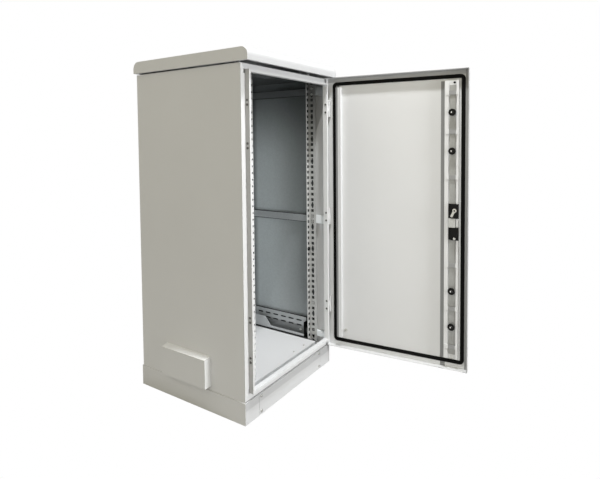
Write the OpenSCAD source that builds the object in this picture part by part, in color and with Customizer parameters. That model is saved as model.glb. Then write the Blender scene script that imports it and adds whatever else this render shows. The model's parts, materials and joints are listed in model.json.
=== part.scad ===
// Outdoor utility cabinet with an open door: plinth, body, canopy roof, posts and a rod lock.
// Millimetres. The origin is the centre of the anchor holes on the underside of the plinth.
// The front faces -Y, the door is hinged on the +X side and drawn closed, then swung open.

/* [Body] */
// Width over the plinth
cabinet_w = 600; // [560:10:900]
// Depth over the plinth
cabinet_d = 550; // [520:10:800]
// Height of the body from plinth to top plate
body_h = 1196; // [1171:25:1696]
// Setback of the body from the plinth on every side
body_inset = 3; // [1:0.5:6]
// Thickness of the body panels
panel_t = 1.5; // [1:0.5:2.5]
// Width of the return at the rear edge of a side panel
rear_return = 22; // [16:1:40]
// Thickness of the floor tray
floor_t = 1.5; // [1:0.5:2.5]
// Height of the floor tray above the plinth
floor_rise = 20; // [14:1:30]
// Gap between the floor tray and the side panels
floor_gap_side = 31.5; // [30:0.5:42]
// Gap between the floor tray and the body's front and rear
floor_gap_end = 38; // [32:1:46]
// Distance of the floor screws from the tray's front and rear edges
floor_screw_inset = 22; // [12:1:40]

/* [Plinth] */
// Height of the plinth
plinth_h = 80; // [60:5:200]
// Thickness of the plinth sheet
plinth_t = 2.5; // [2:0.5:4]
// Width of the plinth's upper and lower flanges
plinth_flange = 50; // [46:1:70]
// Diameter of the anchor holes
anchor_d = 14; // [10:1:18]
// Distance of the anchor holes from the plinth's outer faces
anchor_inset = 25; // [20:1:32]
// Width of the removable front cover
cover_w = 438; // [300:2:480]
// Gap round the front cover
cover_gap = 0.8; // [0.4:0.2:2]
// Distance of the cover screws from the cover's edges
cover_screw_inset = 11; // [9:1:16]

/* [Front frame] */
// Thickness of the folded frame members
frame_t = 1.5; // [1:0.5:2]
// Width of the flat flange beside the rim
flange_side = 23.2; // [22:0.2:26]
// Height of the flat flange above the rim
flange_top = 21; // [16:0.5:30]
// Height of the flat flange below the rim
flange_sill = 29; // [22:1:40]
// How far the rim stands proud of the flange
rim_out = 19; // [18:0.5:20]
// Width of the rim's front lip
rim_lip = 9; // [7:0.5:12]
// Depth of the return behind the rim's lip
rim_return = 20; // [18:1:24]
// Width of the corner reliefs in the side flanges
relief_w = 7; // [3:1:9]
// Height of the corner reliefs
relief_h = 14; // [6:1:20]
// How far the corner reliefs run past the rim's corners
relief_lap = 2; // [1:0.5:4]

/* [Roof] */
// Ventilation gap between body and canopy
roof_gap = 5; // [4:0.5:25]
// Height of the upright fascia
fascia_h = 17.5; // [12:0.5:50]
// Height of the rounded bend above the fascia
bend_h = 28; // [8:1:40]
// Depth of the rounded bend
bend_d = 28; // [8:1:40]
// Overhang in front of the plinth
overhang_front = 38; // [32:1:80]
// Overhang beyond the plinth's sides
overhang_side = 9; // [4:1:30]
// Overhang behind the plinth
overhang_rear = 2; // [0:1:30]
// Thickness of the canopy sheet
roof_t = 1.5; // [1:0.5:2.5]
// Width of the return under the fascia
roof_return = 12; // [8:1:20]
// Diameter of the roof spacers
spacer_d = 18; // [16:1:30]
// Distance of the roof spacers from the body's faces
spacer_inset = 62; // [50:1:90]
// Thread diameter of the roof bolts
roof_bolt_d = 8; // [6:1:10]

/* [Vent] */
// Width of the cowl
cowl_w = 232; // [226:1:300]
// Distance of the cowl's middle behind the middle of the panel
cowl_shift = 9; // [-20:1:20]
// Depth of the cowl
cowl_depth = 30; // [20:1:50]
// Gap between plinth and the cowl's open foot
cowl_rise = 16; // [8:1:40]
// Height of the cowl
cowl_h = 108; // [80:1:160]
// Rise of the cowl's top towards the panel
cowl_slope = 5; // [2:1:12]
// Width of the cowl's fixing flange
cowl_flange = 12; // [10:1:16]
// Thickness of the cowl sheet
cowl_t = 1.5; // [1:0.5:2.5]
// Width of a vent slot
slot_w = 38; // [24:1:44]
// Height of a vent slot
slot_h = 6; // [4:1:8]
// Spacing of the vent slots across the panel
slot_pitch_y = 50; // [46:1:54]
// Spacing of the vent slots up the panel
slot_pitch_z = 14; // [12:0.5:14.5]
// Thickness of the filter pad
filter_t = 11.5; // [8:0.5:20]
// Distance of the filter pad inside the cowl's sides
filter_inset = 16; // [15:0.5:18]

/* [Posts and rails] */
// Thickness of the posts
post_t = 2; // [1.5:0.5:3]
// Width of a post's web along the side wall
post_web = 36; // [32:1:50]
// Width of a post's flange across the cabinet
post_flange = 24; // [20:1:26]
// Distance of a post's edge behind the body's face
post_setback = 50; // [44:1:70]
// Gap between the posts and the top plate
post_head_gap = 6; // [1:1:10]
// Width of the wide flange on the front left post
wide_flange = 112; // [90:1:130]
// Distance of the wide flange's holes from its edge
wide_hole_inset = 6; // [5.5:0.5:12]
// Pitch of the post holes
hole_pitch = 25; // [24:0.5:26]
// Height of the first post hole above the plinth
first_hole = 7; // [6:1:12]
// Diameter of the post holes
hole_d = 9; // [7.5:0.5:10]
// Length of the long slots in the web
long_slot = 28; // [22:1:34]
// Thickness of the rails
rail_t = 2; // [1.5:0.5:3]
// Depth of the rails behind the posts
rail_depth = 10; // [8:1:12]
// Gap between the rails and the side panel
rail_gap = 3.5; // [2:0.5:6]
// Height of the upper and middle rails
rail_h = 36; // [34:1:48]
// Height of the lower rails
lower_rail_h = 25; // [22:1:28]
// Thickness of the slotted runners
runner_t = 2; // [1.5:0.5:3]
// Height of a slotted runner
runner_h = 81; // [70:1:100]
// Width of a runner's ledge
runner_w = 24; // [20:1:26]
// Height of the lip at the rear end of a runner's ledge
lip_high = 51; // [30:1:56]
// Height of the lip along the rest of the ledge
lip_low = 10; // [6:1:20]
// Length of the lip's high part
lip_rear = 84; // [60:1:120]
// Length of the slant from the high part to the low one
lip_slant = 32; // [20:1:60]
// Length of a runner slot
runner_slot = 30; // [20:1:40]
// Height of a runner slot
runner_slot_h = 7; // [5:0.5:9]
// Gap between a runner and the front posts
runner_gap_front = 21; // [10:1:40]
// Gap between a runner and the rear posts
runner_gap_rear = 46; // [10:1:60]
// Height of the caps on the runners' front ends
runner_cap_h = 66; // [50:1:70]
// Number of the hole that carries the middle rail
middle_rail_hole = 22; // [14:4:26]
// Number of the hole that carries the plug
plug_hole = 17; // [10:1:20]
// Diameter of the plug's head
plug_d = 18; // [14:1:20]

/* [Door] */
// Angle by which the door stands open
door_open = 96.5; // [0:0.5:110]
// Depth of the door pan
door_depth = 24.5; // [24:0.5:26]
// Gap between the closed door and the front flange
door_gap = 3; // [2.5:0.5:4]
// Thickness of the door sheet
door_t = 2; // [1.5:0.5:2]
// Gap between plinth and door
door_gap_foot = 4; // [3:0.5:10]
// Gap between door and canopy
door_gap_head = 2; // [2:0.5:10]
// Width of the seal
seal_w = 15; // [12:0.5:16]
// How far the seal reaches past the rim on the lock side
seal_past_lock = 8.7; // [4:0.1:10]
// How far the seal stays inside the rim on the hinge side
seal_in_hinge = 0.8; // [0:0.1:3]
// How far the seal reaches above the rim
seal_past_head = 4; // [3:0.5:10]
// How far the seal reaches below the rim
seal_past_foot = 4.5; // [3:0.5:10]
// Radius of the seal's outer corners
seal_r = 18; // [17:1:40]
// Gap between seal and rim when the door is closed
seal_gap = 0.3; // [0.2:0.1:1]
// Width of the hinge-side stiffener
hinge_stiff_w = 22; // [16:1:40]
// Gap between the seal and the hinge-side stiffener
hinge_stiff_gap = 5; // [2:0.5:15]
// Height of the stiffeners above the door sheet
stiff_h = 18; // [17.5:0.5:18.5]
// Thickness of the stiffener sheet
stiff_t = 1.5; // [1:0.5:2]
// Gap between the seal and the stiffeners' ends
stiff_gap_end = 9; // [4:0.5:20]
// Distance of the earth stud from the stiffener
stud_offset = 14; // [10:1:30]

/* [Hinges] */
// Distance of the hinge axis from the body's side
pivot_inset = 8; // [7.7:0.1:8.2]
// Distance of the hinge axis in front of the flange
pivot_out = 14.5; // [14.5:0.1:15]
// Height of a hinge
hinge_h = 72; // [60:2:100]
// Distance of the hinge screws from a hinge's ends
hinge_screw_inset = 19; // [14:1:24]
// Height of a hinge's middle knuckle
knuckle_h = 24; // [20:1:26]
// Diameter of the hinge knuckles
knuckle_d = 11; // [9.5:0.5:11]
// Diameter of the hinge pins
pin_d = 6; // [5:0.5:7]
// Thickness of the hinge leaves on the rim
leaf_t = 2; // [1.5:0.5:2.5]
// Height of the lower hinge above the door's foot
hinge_low = 188; // [150:1:300]
// Height of the middle hinge above the door's foot
hinge_middle = 584; // [450:1:700]
// Distance of the upper hinge below the door's head
hinge_high = 134; // [100:1:250]

/* [Lock] */
// Width of the trough between the ridges of the lock stiffener
trough_w = 30; // [28:1:34]
// Height of the trough above the door sheet
trough_rise = 11.5; // [11:0.1:11.7]
// Width of the ridge towards the hinges
ridge_w = 15; // [10:1:30]
// Width of the ridge towards the free edge
ridge_free_w = 8; // [6:0.5:12]
// Gap between the keepers and the lock stiffener
lock_clear = 2.8; // [1.5:0.1:5]
// Height of the handle's axis above the door's foot
handle_rise = 592; // [480:1:720]
// Width of the lock rods
rod_w = 24; // [18:0.5:25]
// Thickness of the lock rods
rod_t = 4; // [3:0.5:4.5]
// Height of the upper lock housing
upper_housing_h = 57; // [46:1:80]
// Height of the lower lock housing
lower_housing_h = 50; // [46:1:80]
// Width of the lock housings' feet in the trough
housing_foot_w = 27; // [26:0.5:27.5]
// Width of the lock housings above the ridges
housing_w = 30; // [28:0.5:32]
// Gap between the lock housings and the frame
housing_clear = 2.3; // [2:0.1:4]
// How far the housings stand out above the ridges
housing_out = 9; // [6:0.5:14]
// Height of the case between the housings
case_h = 36; // [30:1:50]
// Width of the case between the housings
case_w = 26; // [24:0.5:27.5]
// How far the case stands out of the trough
case_out = 14; // [12:1:20]
// Diameter of a roller's inner flange
roller_d = 28; // [24:0.5:29]
// Diameter of a roller's base flange
roller_base_d = 16; // [14:0.5:18]
// Diameter of a roller's hub
roller_hub_d = 9; // [8.5:0.5:10]
// Diameter of a roller's stud
stud_d = 6; // [5:0.5:6.5]
// Thickness of a roller's flanges
roller_rim = 4; // [3:0.5:4.5]
// Width of a roller's groove
groove_w = 6; // [5:0.5:7]
// Thickness of the keepers
keeper_t = 2; // [1.5:0.5:2.5]
// Height of a keeper
keeper_h = 30; // [26:1:36]
// Distance of the outer upper roller from the stiffener's head
roller_head = 125; // [110:1:140]
// Distance of the outer lower roller from the stiffener's foot
roller_foot = 131.5; // [115:0.5:145]
// Spacing of the upper rollers
upper_spacing = 151; // [100:1:200]
// Spacing of the lower rollers
lower_spacing = 144; // [100:1:200]
// Distance of the lock rods' ends from the stiffener's ends
rod_inset = 18; // [12:1:30]
// Distance of the outer guides from the rods' ends
guide_inset = 30; // [20:1:50]
// Width of the handle's base plate
base_w = 32; // [30:1:40]
// Thickness of the handle's base plate
base_t = 5; // [3:0.5:8]
// Length of the lever beyond the spindle
lever_l = 118; // [90:1:150]
// Width of the lever
lever_w = 26; // [24:1:30]
// Thickness of the lever
lever_t = 13; // [11:0.5:18]
// Diameter of the spindle
spindle_d = 16; // [12:0.5:18]
// Diameter of the key cylinder
key_d = 18; // [12:0.5:19]

/* [Fits] */
// Radial clearance of a turning fit
run_fit = 0.05; // [0.02:0.01:0.1]
// Radial clearance of a fixed pin or screw
fixed_fit = 0.02; // [0.01:0.01:0.05]
// Gap between pieces that slide or turn past each other
slide_gap = 0.3; // [0.2:0.05:0.6]
// Radial clearance of a bolt in its hole
bolt_fit = 0.3; // [0.1:0.1:0.6]

/* [Hidden] */
$fn = 48;

// Cuts run past the faces they open by this much
past = 1;

// Main planes of body and frame
body_x = cabinet_w / 2 - body_inset;
body_y = cabinet_d / 2 - body_inset;
front_y = -body_y;
body_z = plinth_h + body_h;
floor_z = plinth_h + floor_rise;
ceiling_z = body_z - panel_t;
inner_x = body_x - panel_t;
rear_y = body_y - 2 * panel_t;
rim_x = body_x - flange_side;
rim_z0 = plinth_h + flange_sill;
rim_z1 = body_z - flange_top;
rim_y = front_y - rim_out;
jamb_x = rim_x - rim_lip;

// Roof planes
roof_z0 = body_z + roof_gap;
roof_z1 = roof_z0 + fascia_h + bend_h;
roof_y0 = -cabinet_d / 2 - overhang_front;
roof_y1 = cabinet_d / 2 + overhang_rear;
roof_w = cabinet_w + 2 * overhang_side;

// Door planes, with the door closed
door_z0 = plinth_h + door_gap_foot;
door_z1 = roof_z0 - door_gap_head;
door_back_y = front_y - door_gap;
door_face_y = door_back_y - door_depth;
skin_y = door_face_y + door_t;
pivot_x = body_x - pivot_inset;
pivot_y = front_y - pivot_out;
hinge_zs = [door_z0 + hinge_low, door_z0 + hinge_middle, door_z1 - hinge_high];
seal_x0 = -rim_x - seal_past_lock;
seal_x1 = rim_x - seal_in_hinge;
seal_z0 = rim_z0 - seal_past_foot;
seal_z1 = rim_z1 + seal_past_head;
stiff_z0 = seal_z0 + seal_w + stiff_gap_end;
stiff_z1 = seal_z1 - seal_w - stiff_gap_end;

// Lock lines, with the door closed
keeper_x = -jamb_x;
lock_x = keeper_x + keeper_t + lock_clear + ridge_free_w + trough_w / 2;
handle_z = door_z0 + handle_rise;
ridge_y = skin_y + stiff_h;
trough_y = skin_y + trough_rise;
rod_y0 = trough_y + slide_gap;
rod_y1 = rod_y0 + rod_t;
case_z0 = handle_z - case_h / 2;
case_z1 = handle_z + case_h / 2;
rod_end = 13;
rod_tail = 4;
roller_y = rod_y1 + slide_gap;
roller_l = 2 * roller_rim + groove_w;
keeper_y = roller_y + roller_rim + (groove_w - keeper_t) / 2;
keeper_lead = roller_d / 2 + 1.5;
upper_zs = [stiff_z1 - roller_head, stiff_z1 - roller_head - upper_spacing];
lower_zs = [stiff_z0 + roller_foot, stiff_z0 + roller_foot + lower_spacing];
keeper_zs = concat([for (z = upper_zs) z + keeper_lead], [for (z = lower_zs) z - keeper_lead - keeper_h]);
rod_top = stiff_z1 - rod_inset;
rod_foot = stiff_z0 + rod_inset;
spindle_end = trough_y + case_out - 3;
lever_y = base_t + 0.5;
lever_axis = lever_y + lever_t / 2;
tongue_w = 10;
tongue_l = 16;
key_at = lever_l - 26;

// Posts, rails and runners
rail_x = inner_x - rail_gap;
post_x = rail_x - rail_depth;
post_y = body_y - post_setback;
post_h = ceiling_z - post_head_gap - plinth_h;
post_inner_y = post_y - post_web;
hole_count = floor((post_h - 2 * first_hole) / hole_pitch) + 1;
flange_hole_x = post_x - post_flange / 2;
web_hole_y = post_y - post_web / 2;
upper_rail_hole = hole_count - 2;
rail_y0 = front_y + frame_t;
rail_y1 = rear_y - slide_gap;

// Height of a post hole by its number
function hole_z(i) = plinth_h + first_hole + i * hole_pitch;
function between_holes(i) = (hole_z(i) + hole_z(i + 1)) / 2;

// Screw sizes
m6_d = 6;
m6_head = 11;
m6_head_h = 3.5;
m6_hex = 12.5;
m6_hex_h = 4;
m5_d = 5;
m5_head = 9;
m5_head_h = 2.5;

// Colours
paint = [0.82, 0.82, 0.80];
zinc = [0.66, 0.68, 0.70];
dark = [0.30, 0.31, 0.32];
black = [0.07, 0.07, 0.08];

// Outline of a folded sheet: a path and its parallel at the sheet's thickness
function unit(v) = v / norm(v);
function side_of(p, i) = let (d = unit(p[i + 1] - p[i])) [-d[1], d[0]];
function parallel_point(p, i, t) =
  i == 0 ? p[0] + t * side_of(p, 0)
  : i == len(p) - 1 ? p[i] + t * side_of(p, i - 1)
  : let (a = side_of(p, i - 1), b = side_of(p, i)) p[i] + t * (a + b) / (1 + a * b);
function parallel_path(p, t) = [for (i = [0:len(p) - 1]) parallel_point(p, i, t)];
function folded(p, t) =
  let (q = parallel_path(p, t)) concat(p, [for (i = [len(q) - 1:-1:0]) q[i]]);

// Swings a piece drawn on the closed door out with the door
module on_door() {
  translate([pivot_x, pivot_y, 0])
    rotate([0, 0, door_open])
      translate([-pivot_x, -pivot_y, 0])
        children();
}

// Box from two opposite corners
module block(a, b) { translate(a) cube(b - a); }

// Cylinders along the three axes, from a start point
module rod_x(p, l, d) { translate(p) rotate([0, 90, 0]) cylinder(d = d, h = l); }
module rod_y(p, l, d) { translate(p) rotate([-90, 0, 0]) cylinder(d = d, h = l); }
module rod_z(p, l, d) { translate(p) cylinder(d = d, h = l); }

// Copies on both sides of a plane through the origin
module both_x() { children(); mirror([1, 0, 0]) children(); }
module both_y() { children(); mirror([0, 1, 0]) children(); }

// Outlines in X and Z, or in Y and Z, drawn out between two planes
module between_y(y0, y1) { translate([0, y1, 0]) rotate([90, 0, 0]) linear_extrude(y1 - y0) children(); }
module between_x(x0, x1) { translate([x0, 0, 0]) rotate([90, 0, 90]) linear_extrude(x1 - x0) children(); }

module round_rect(x0, y0, x1, y1, r) {
  translate([x0 + r, y0]) square([x1 - x0 - 2 * r, y1 - y0]);
  translate([x0, y0 + r]) square([x1 - x0, y1 - y0 - 2 * r]);
  for (x = [x0 + r, x1 - r], y = [y0 + r, y1 - r])
    translate([x, y]) circle(r);
}

// Slot with round ends along Y, centred on the origin
module slot(w, l) {
  square([w, l - w], center = true);
  for (s = [-1, 1]) translate([0, s * (l - w) / 2]) circle(d = w);
}

// Pan-head screw along +Z from the underside of its head
module pan_screw(d, head, head_h, l) {
  cylinder(d = d, h = l);
  translate([0, 0, -head_h * 0.55]) cylinder(d = head, h = head_h * 0.55);
  translate([0, 0, -head_h]) cylinder(d1 = head * 0.7, d2 = head, h = head_h * 0.45);
}

// Hexagon bolt along +Z from the underside of its head
module hex_bolt(d, across, head_h, l) {
  cylinder(d = d, h = l);
  translate([0, 0, -head_h]) cylinder(d = across, h = head_h, $fn = 6);
}

// Plinth: an upright ring with flanges, open at the front behind its cover
plinth_x = cabinet_w / 2;
plinth_y = cabinet_d / 2;
cover_x = cover_w / 2;
cover_screw_x = cover_x - cover_screw_inset;
cover_screw_zs = [cover_screw_inset + 2, plinth_h - cover_screw_inset];
tab_x0 = cover_x - 2 * cover_screw_inset;
tab_x1 = cover_x + 14;

module plinth_frame() {
  color(paint) difference() {
    union() {
      difference() {
        block([-plinth_x, -plinth_y, 0], [plinth_x, plinth_y, plinth_h]);
        block([-plinth_x + plinth_t, -plinth_y + plinth_t, plinth_t],
              [plinth_x - plinth_t, plinth_y - plinth_t, plinth_h - plinth_t]);
        block([-plinth_x + plinth_flange, -plinth_y + plinth_flange, -past],
              [plinth_x - plinth_flange, plinth_y - plinth_flange, plinth_h + past]);
        block([-cover_x - cover_gap, -plinth_y - past, -past],
              [cover_x + cover_gap, -plinth_y + plinth_t, plinth_h + past]);
      }
      both_x() block([tab_x0, -plinth_y + plinth_t, plinth_t],
                     [tab_x1, -plinth_y + 2 * plinth_t, plinth_h - plinth_t]);
    }
    for (x = [-1, 1], y = [-1, 1])
      rod_z([x * (plinth_x - anchor_inset), y * (plinth_y - anchor_inset), -past],
            plinth_t + 2 * past, anchor_d);
    for (x = [-1, 1], z = cover_screw_zs)
      rod_y([x * cover_screw_x, -plinth_y, z], 3 * plinth_t, m6_d + 2 * fixed_fit);
  }
}

module plinth_front_cover() {
  color(paint) difference() {
    block([-cover_x, -plinth_y, cover_gap], [cover_x, -plinth_y + plinth_t, plinth_h - cover_gap]);
    for (x = [-1, 1], z = cover_screw_zs)
      rod_y([x * cover_screw_x, -plinth_y - past, z], plinth_t + 2 * past, m6_d + 2 * bolt_fit);
  }
}

module plinth_cover_screws() {
  color(zinc) for (x = [-1, 1], z = cover_screw_zs)
    translate([x * cover_screw_x, -plinth_y, z]) rotate([-90, 0, 0])
      pan_screw(m6_d, m6_head, m6_head_h, 3 * plinth_t);
}

// Floor tray on the plinth's upper flange, cut away at its corners for the posts
floor_x = inner_x - floor_gap_side;
floor_y = body_y - floor_gap_end;
notch_x = post_x - post_flange - 2;
notch_y = post_inner_y - 6;
floor_screws = concat(
  [for (x = [-0.64, 0.4, 0.7]) [x * floor_x, -floor_y + floor_screw_inset]],
  [for (x = [-0.64, 0, 0.64]) [x * floor_x, floor_y - floor_screw_inset]]);

module floor_plate() {
  color(paint) difference() {
    block([-floor_x, -floor_y, plinth_h], [floor_x, floor_y, floor_z]);
    block([-floor_x + floor_t, -floor_y + floor_t, plinth_h - past],
          [floor_x - floor_t, floor_y - floor_t, floor_z - floor_t]);
    both_x() both_y() block([notch_x, notch_y, plinth_h - past],
                            [floor_x + past, floor_y + past, floor_z + past]);
    for (p = floor_screws)
      rod_z([p[0], p[1], floor_z - floor_t - past], floor_t + 2 * past, m5_d + 2 * fixed_fit);
  }
}

// Side panels: a sheet with a return at its rear edge
side_path = [[-body_x, front_y + frame_t], [-body_x, body_y], [-body_x + rear_return, body_y]];
rivet_zs = [for (i = [0:4]) plinth_h + 60 + i * (body_h - 120) / 4];
rivet_x = body_x - rear_return / 2;
rivet_d = 5;

module side_sheet() {
  difference() {
    translate([0, 0, plinth_h]) linear_extrude(body_h) polygon(folded(side_path, -panel_t));
    for (z = rivet_zs)
      rod_y([-rivet_x, body_y - panel_t - past, z], panel_t + 2 * past, rivet_d + 2 * fixed_fit);
  }
}

// Vent slots lie behind the upper half of the cowl
cowl_z0 = plinth_h + cowl_rise;
cowl_z1 = cowl_z0 + cowl_h;
slot_rows = 4;
slot_cols = 4;
slot_y0 = cowl_shift - (slot_cols - 1) / 2 * slot_pitch_y - slot_w / 2;
slot_z1 = cowl_z1 - 5;
slot_z0 = slot_z1 - slot_h - (slot_rows - 1) * slot_pitch_z;
cowl_screw_zs = [cowl_z0 + 16, cowl_z1 - 12];
cowl_screw_ys = [for (s = [-1, 1]) cowl_shift + s * (cowl_w / 2 - cowl_t - cowl_flange / 2)];

module left_side_panel() {
  color(paint) difference() {
    side_sheet();
    for (r = [0:slot_rows - 1], c = [0:slot_cols - 1])
      translate([-body_x - past, slot_y0 + c * slot_pitch_y, slot_z0 + r * slot_pitch_z])
        cube([panel_t + 2 * past, slot_w, slot_h]);
    for (y = cowl_screw_ys, z = cowl_screw_zs)
      rod_x([-body_x - past, y, z], panel_t + 2 * past, m5_d + 2 * bolt_fit);
  }
}

module right_side_panel() { color(paint) mirror([1, 0, 0]) side_sheet(); }

module rear_panel() {
  color(paint) difference() {
    block([-inner_x + slide_gap, rear_y, plinth_h], [inner_x - slide_gap, body_y - panel_t, body_z]);
    for (x = [-1, 1], z = rivet_zs)
      rod_y([x * rivet_x, rear_y - past, z], panel_t + 2 * past, rivet_d + 2 * fixed_fit);
  }
}

module rear_panel_rivets() {
  color(paint) for (x = [-1, 1], z = rivet_zs)
    translate([x * rivet_x, body_y, z]) rotate([90, 0, 0])
      pan_screw(rivet_d, 2 * rivet_d, 1.8, 2 * panel_t);
}

spacer_x = body_x - spacer_inset;
spacer_y = body_y - spacer_inset;
top_slot_l = 60;
top_slot_w = 6;

module top_plate() {
  color(paint) difference() {
    block([-inner_x, front_y + frame_t, ceiling_z], [inner_x, rear_y, body_z]);
    for (x = [-1, 1], y = [-1, 1])
      rod_z([x * spacer_x, y * spacer_y, ceiling_z - past],
            panel_t + 2 * past, roof_bolt_d + 2 * bolt_fit);
    for (x = [-4:4], y = [-1, 1])
      translate([4 * x * top_slot_w - top_slot_w / 2, y * spacer_y / 2 - top_slot_l / 2, ceiling_z - past])
        cube([top_slot_w, top_slot_l, panel_t + 2 * past]);
  }
}

// Front frame: a flange with a proud rim, drawn as a path from the flange's edge into the doorway
function rim_path(flange) =
  [[flange, 0], [0, 0], [0, -rim_out], [-rim_lip, -rim_out], [-rim_lip, rim_return - rim_out]];

// Field that a side member fills between the mitres at the rim's corners
module side_field(outside, inside) {
  between_y(rim_y - past, body_y)
    polygon([[-rim_x - outside, rim_z0 - outside], [-rim_x + inside, rim_z0 + inside],
             [-rim_x + inside, rim_z1 - inside], [-rim_x - outside, rim_z1 + outside]]);
}

// Left member, the pattern for both
module side_member() {
  difference() {
    intersection() {
      translate([-rim_x, front_y, plinth_h]) mirror([1, 0, 0])
        linear_extrude(body_h) polygon(folded(rim_path(flange_side), -frame_t));
      side_field(2 * flange_side, 2 * rim_lip);
    }
    for (z = [rim_z0 - relief_lap, rim_z1 - relief_h])
      block([-rim_x - relief_w, front_y - past, z],
            [-rim_x, front_y + frame_t + past, z + relief_h + relief_lap]);
  }
}

hinge_screw_y = front_y - 12;
hinge_screw_dz = hinge_h / 2 - hinge_screw_inset;
keeper_screw_y = front_y - 9;
keeper_screw_dz = keeper_h / 2 - 7;

module left_frame_member() {
  color(paint) difference() {
    side_member();
    for (z = keeper_zs, dz = [-1, 1])
      rod_x([-rim_x - past, keeper_screw_y, z + keeper_h / 2 + dz * keeper_screw_dz],
            rim_lip + 2 * past, m5_d + 2 * fixed_fit);
  }
}

module right_frame_member() {
  color(paint) difference() {
    mirror([1, 0, 0]) side_member();
    for (z = hinge_zs, dz = [-1, 1])
      rod_x([jamb_x - past, hinge_screw_y, z + dz * hinge_screw_dz],
            rim_lip + 2 * past, m5_d + 2 * fixed_fit);
  }
}

// Field that the head or sill fills between the mitres
module end_field(z, up, outside, inside) {
  between_y(rim_y - past, body_y)
    polygon([[-rim_x - outside, z + up * outside], [rim_x + outside, z + up * outside],
             [rim_x - inside, z - up * inside], [-rim_x + inside, z - up * inside]]);
}

module frame_head() {
  color(paint) intersection() {
    translate([body_x, front_y, rim_z1]) rotate([0, -90, 0])
      linear_extrude(2 * body_x) polygon(folded(rim_path(flange_top), -frame_t));
    end_field(rim_z1, 1, 2 * flange_side, 2 * rim_lip);
  }
}

module frame_sill() {
  color(paint) intersection() {
    translate([-body_x, front_y, rim_z0]) rotate([0, 90, 0])
      linear_extrude(2 * body_x) polygon(folded(rim_path(flange_sill), -frame_t));
    end_field(rim_z0, -1, 2 * flange_sill, 2 * rim_lip);
  }
}

// Roof canopy: a folded section with rounded bends at front and rear, closed at its ends
bend_steps = 8;
bend_angles = [for (i = [0:bend_steps]) 90 * i / bend_steps];
function bend_point(y, s, a) = [y + s * bend_d * (1 - cos(a)), roof_z0 + fascia_h + bend_h * sin(a)];
function roof_path(z) = concat(
  [[roof_y0, z]],
  [for (a = bend_angles) bend_point(roof_y0, 1, a)],
  [for (a = bend_angles) bend_point(roof_y1, -1, 90 - a)],
  [[roof_y1, z]]);

module roof_canopy() {
  color(paint) difference() {
    between_x(-roof_w / 2, roof_w / 2) polygon(roof_path(roof_z0));
    between_x(-roof_w / 2 + roof_t, roof_w / 2 - roof_t)
      polygon(parallel_path(roof_path(roof_z0 + roof_t), -roof_t));
    block([-roof_w / 2 + roof_return, roof_y0 + roof_return, roof_z0 - past],
          [roof_w / 2 - roof_return, roof_y1 - roof_return, roof_z0 + 2 * roof_t]);
  }
}

roof_bolt_l = 24;

module roof_spacers() {
  color(zinc) for (x = [-1, 1], y = [-1, 1]) difference() {
    rod_z([x * spacer_x, y * spacer_y, body_z], roof_z1 - roof_t - body_z, spacer_d);
    rod_z([x * spacer_x, y * spacer_y, body_z - past], roof_bolt_l + past, roof_bolt_d + 2 * fixed_fit);
  }
}

module roof_bolts() {
  color(zinc) for (x = [-1, 1], y = [-1, 1])
    translate([x * spacer_x, y * spacer_y, ceiling_z])
      hex_bolt(roof_bolt_d, 1.8 * roof_bolt_d, 0.65 * roof_bolt_d, roof_bolt_l);
}

// Vent cowl: a hood with a sloping top, open at its foot, on flanges turned in against the left panel
cowl_x = -body_x - cowl_depth;
cowl_y0 = cowl_shift - cowl_w / 2;
cowl_y1 = cowl_shift + cowl_w / 2;

function cowl_head(x) = cowl_z1 + cowl_slope * (x - cowl_x) / cowl_depth;

module hood(x0, x1, z0, t) {
  between_y(cowl_y0 + t, cowl_y1 - t)
    polygon([[x0, z0], [x0, cowl_head(x0) - t], [x1, cowl_head(x1) - t], [x1, z0]]);
}

module vent_cowl() {
  color(paint) difference() {
    union() {
      difference() {
        hood(cowl_x, -body_x, cowl_z0, 0);
        hood(cowl_x + cowl_t, -body_x + past, cowl_z0 - past, cowl_t);
      }
      for (y = [cowl_y0, cowl_y1 - cowl_t - cowl_flange])
        block([-body_x - cowl_t, y, cowl_z0], [-body_x, y + cowl_t + cowl_flange, cowl_z1]);
    }
    for (y = cowl_screw_ys, z = cowl_screw_zs)
      rod_x([-body_x - 2 * cowl_t, y, z], 3 * cowl_t, m5_d + 2 * fixed_fit);
  }
}

module vent_filter() {
  color(black) block([-inner_x, cowl_y0 + filter_inset, slot_z0 - 7],
                     [-inner_x + filter_t, cowl_y1 - filter_inset, cowl_z1 + 2]);
}

// Screws of the floor tray and of the cowl, which is held from inside
module panel_screws() {
  color(zinc) {
    for (p = floor_screws)
      translate([p[0], p[1], floor_z]) rotate([180, 0, 0])
        pan_screw(m5_d, m5_head, m5_head_h, floor_t + 6);
    for (y = cowl_screw_ys, z = cowl_screw_zs)
      translate([-inner_x, y, z]) rotate([0, -90, 0])
        pan_screw(m5_d, m5_head, m5_head_h, panel_t + cowl_t);
  }
}

// Perforated posts: an angle with a web along the panel and a flange across the cabinet
module web_holes() {
  for (i = [0:hole_count - 1])
    translate([0, hole_z(i)]) if (i % 4 == 1) slot(hole_d, long_slot); else circle(d = hole_d);
}

// Front right post, the pattern for all four
module post() {
  difference() {
    translate([0, 0, plinth_h]) linear_extrude(post_h)
      polygon(folded([[post_x, -post_y], [post_x, -post_inner_y],
                      [post_x - post_flange, -post_inner_y]], post_t));
    for (i = [0:hole_count - 1])
      rod_y([flange_hole_x, -post_inner_y - post_t - past, hole_z(i)], post_t + 2 * past, hole_d);
    translate([0, -web_hole_y, 0]) between_x(post_x - post_t - past, post_x + past) web_holes();
  }
}

// Wide flange at the front edge of the left post, above the floor, with a row of holes along its edge
wide_x = post_x - wide_flange;
wide_z0 = floor_z + 6;

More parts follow.
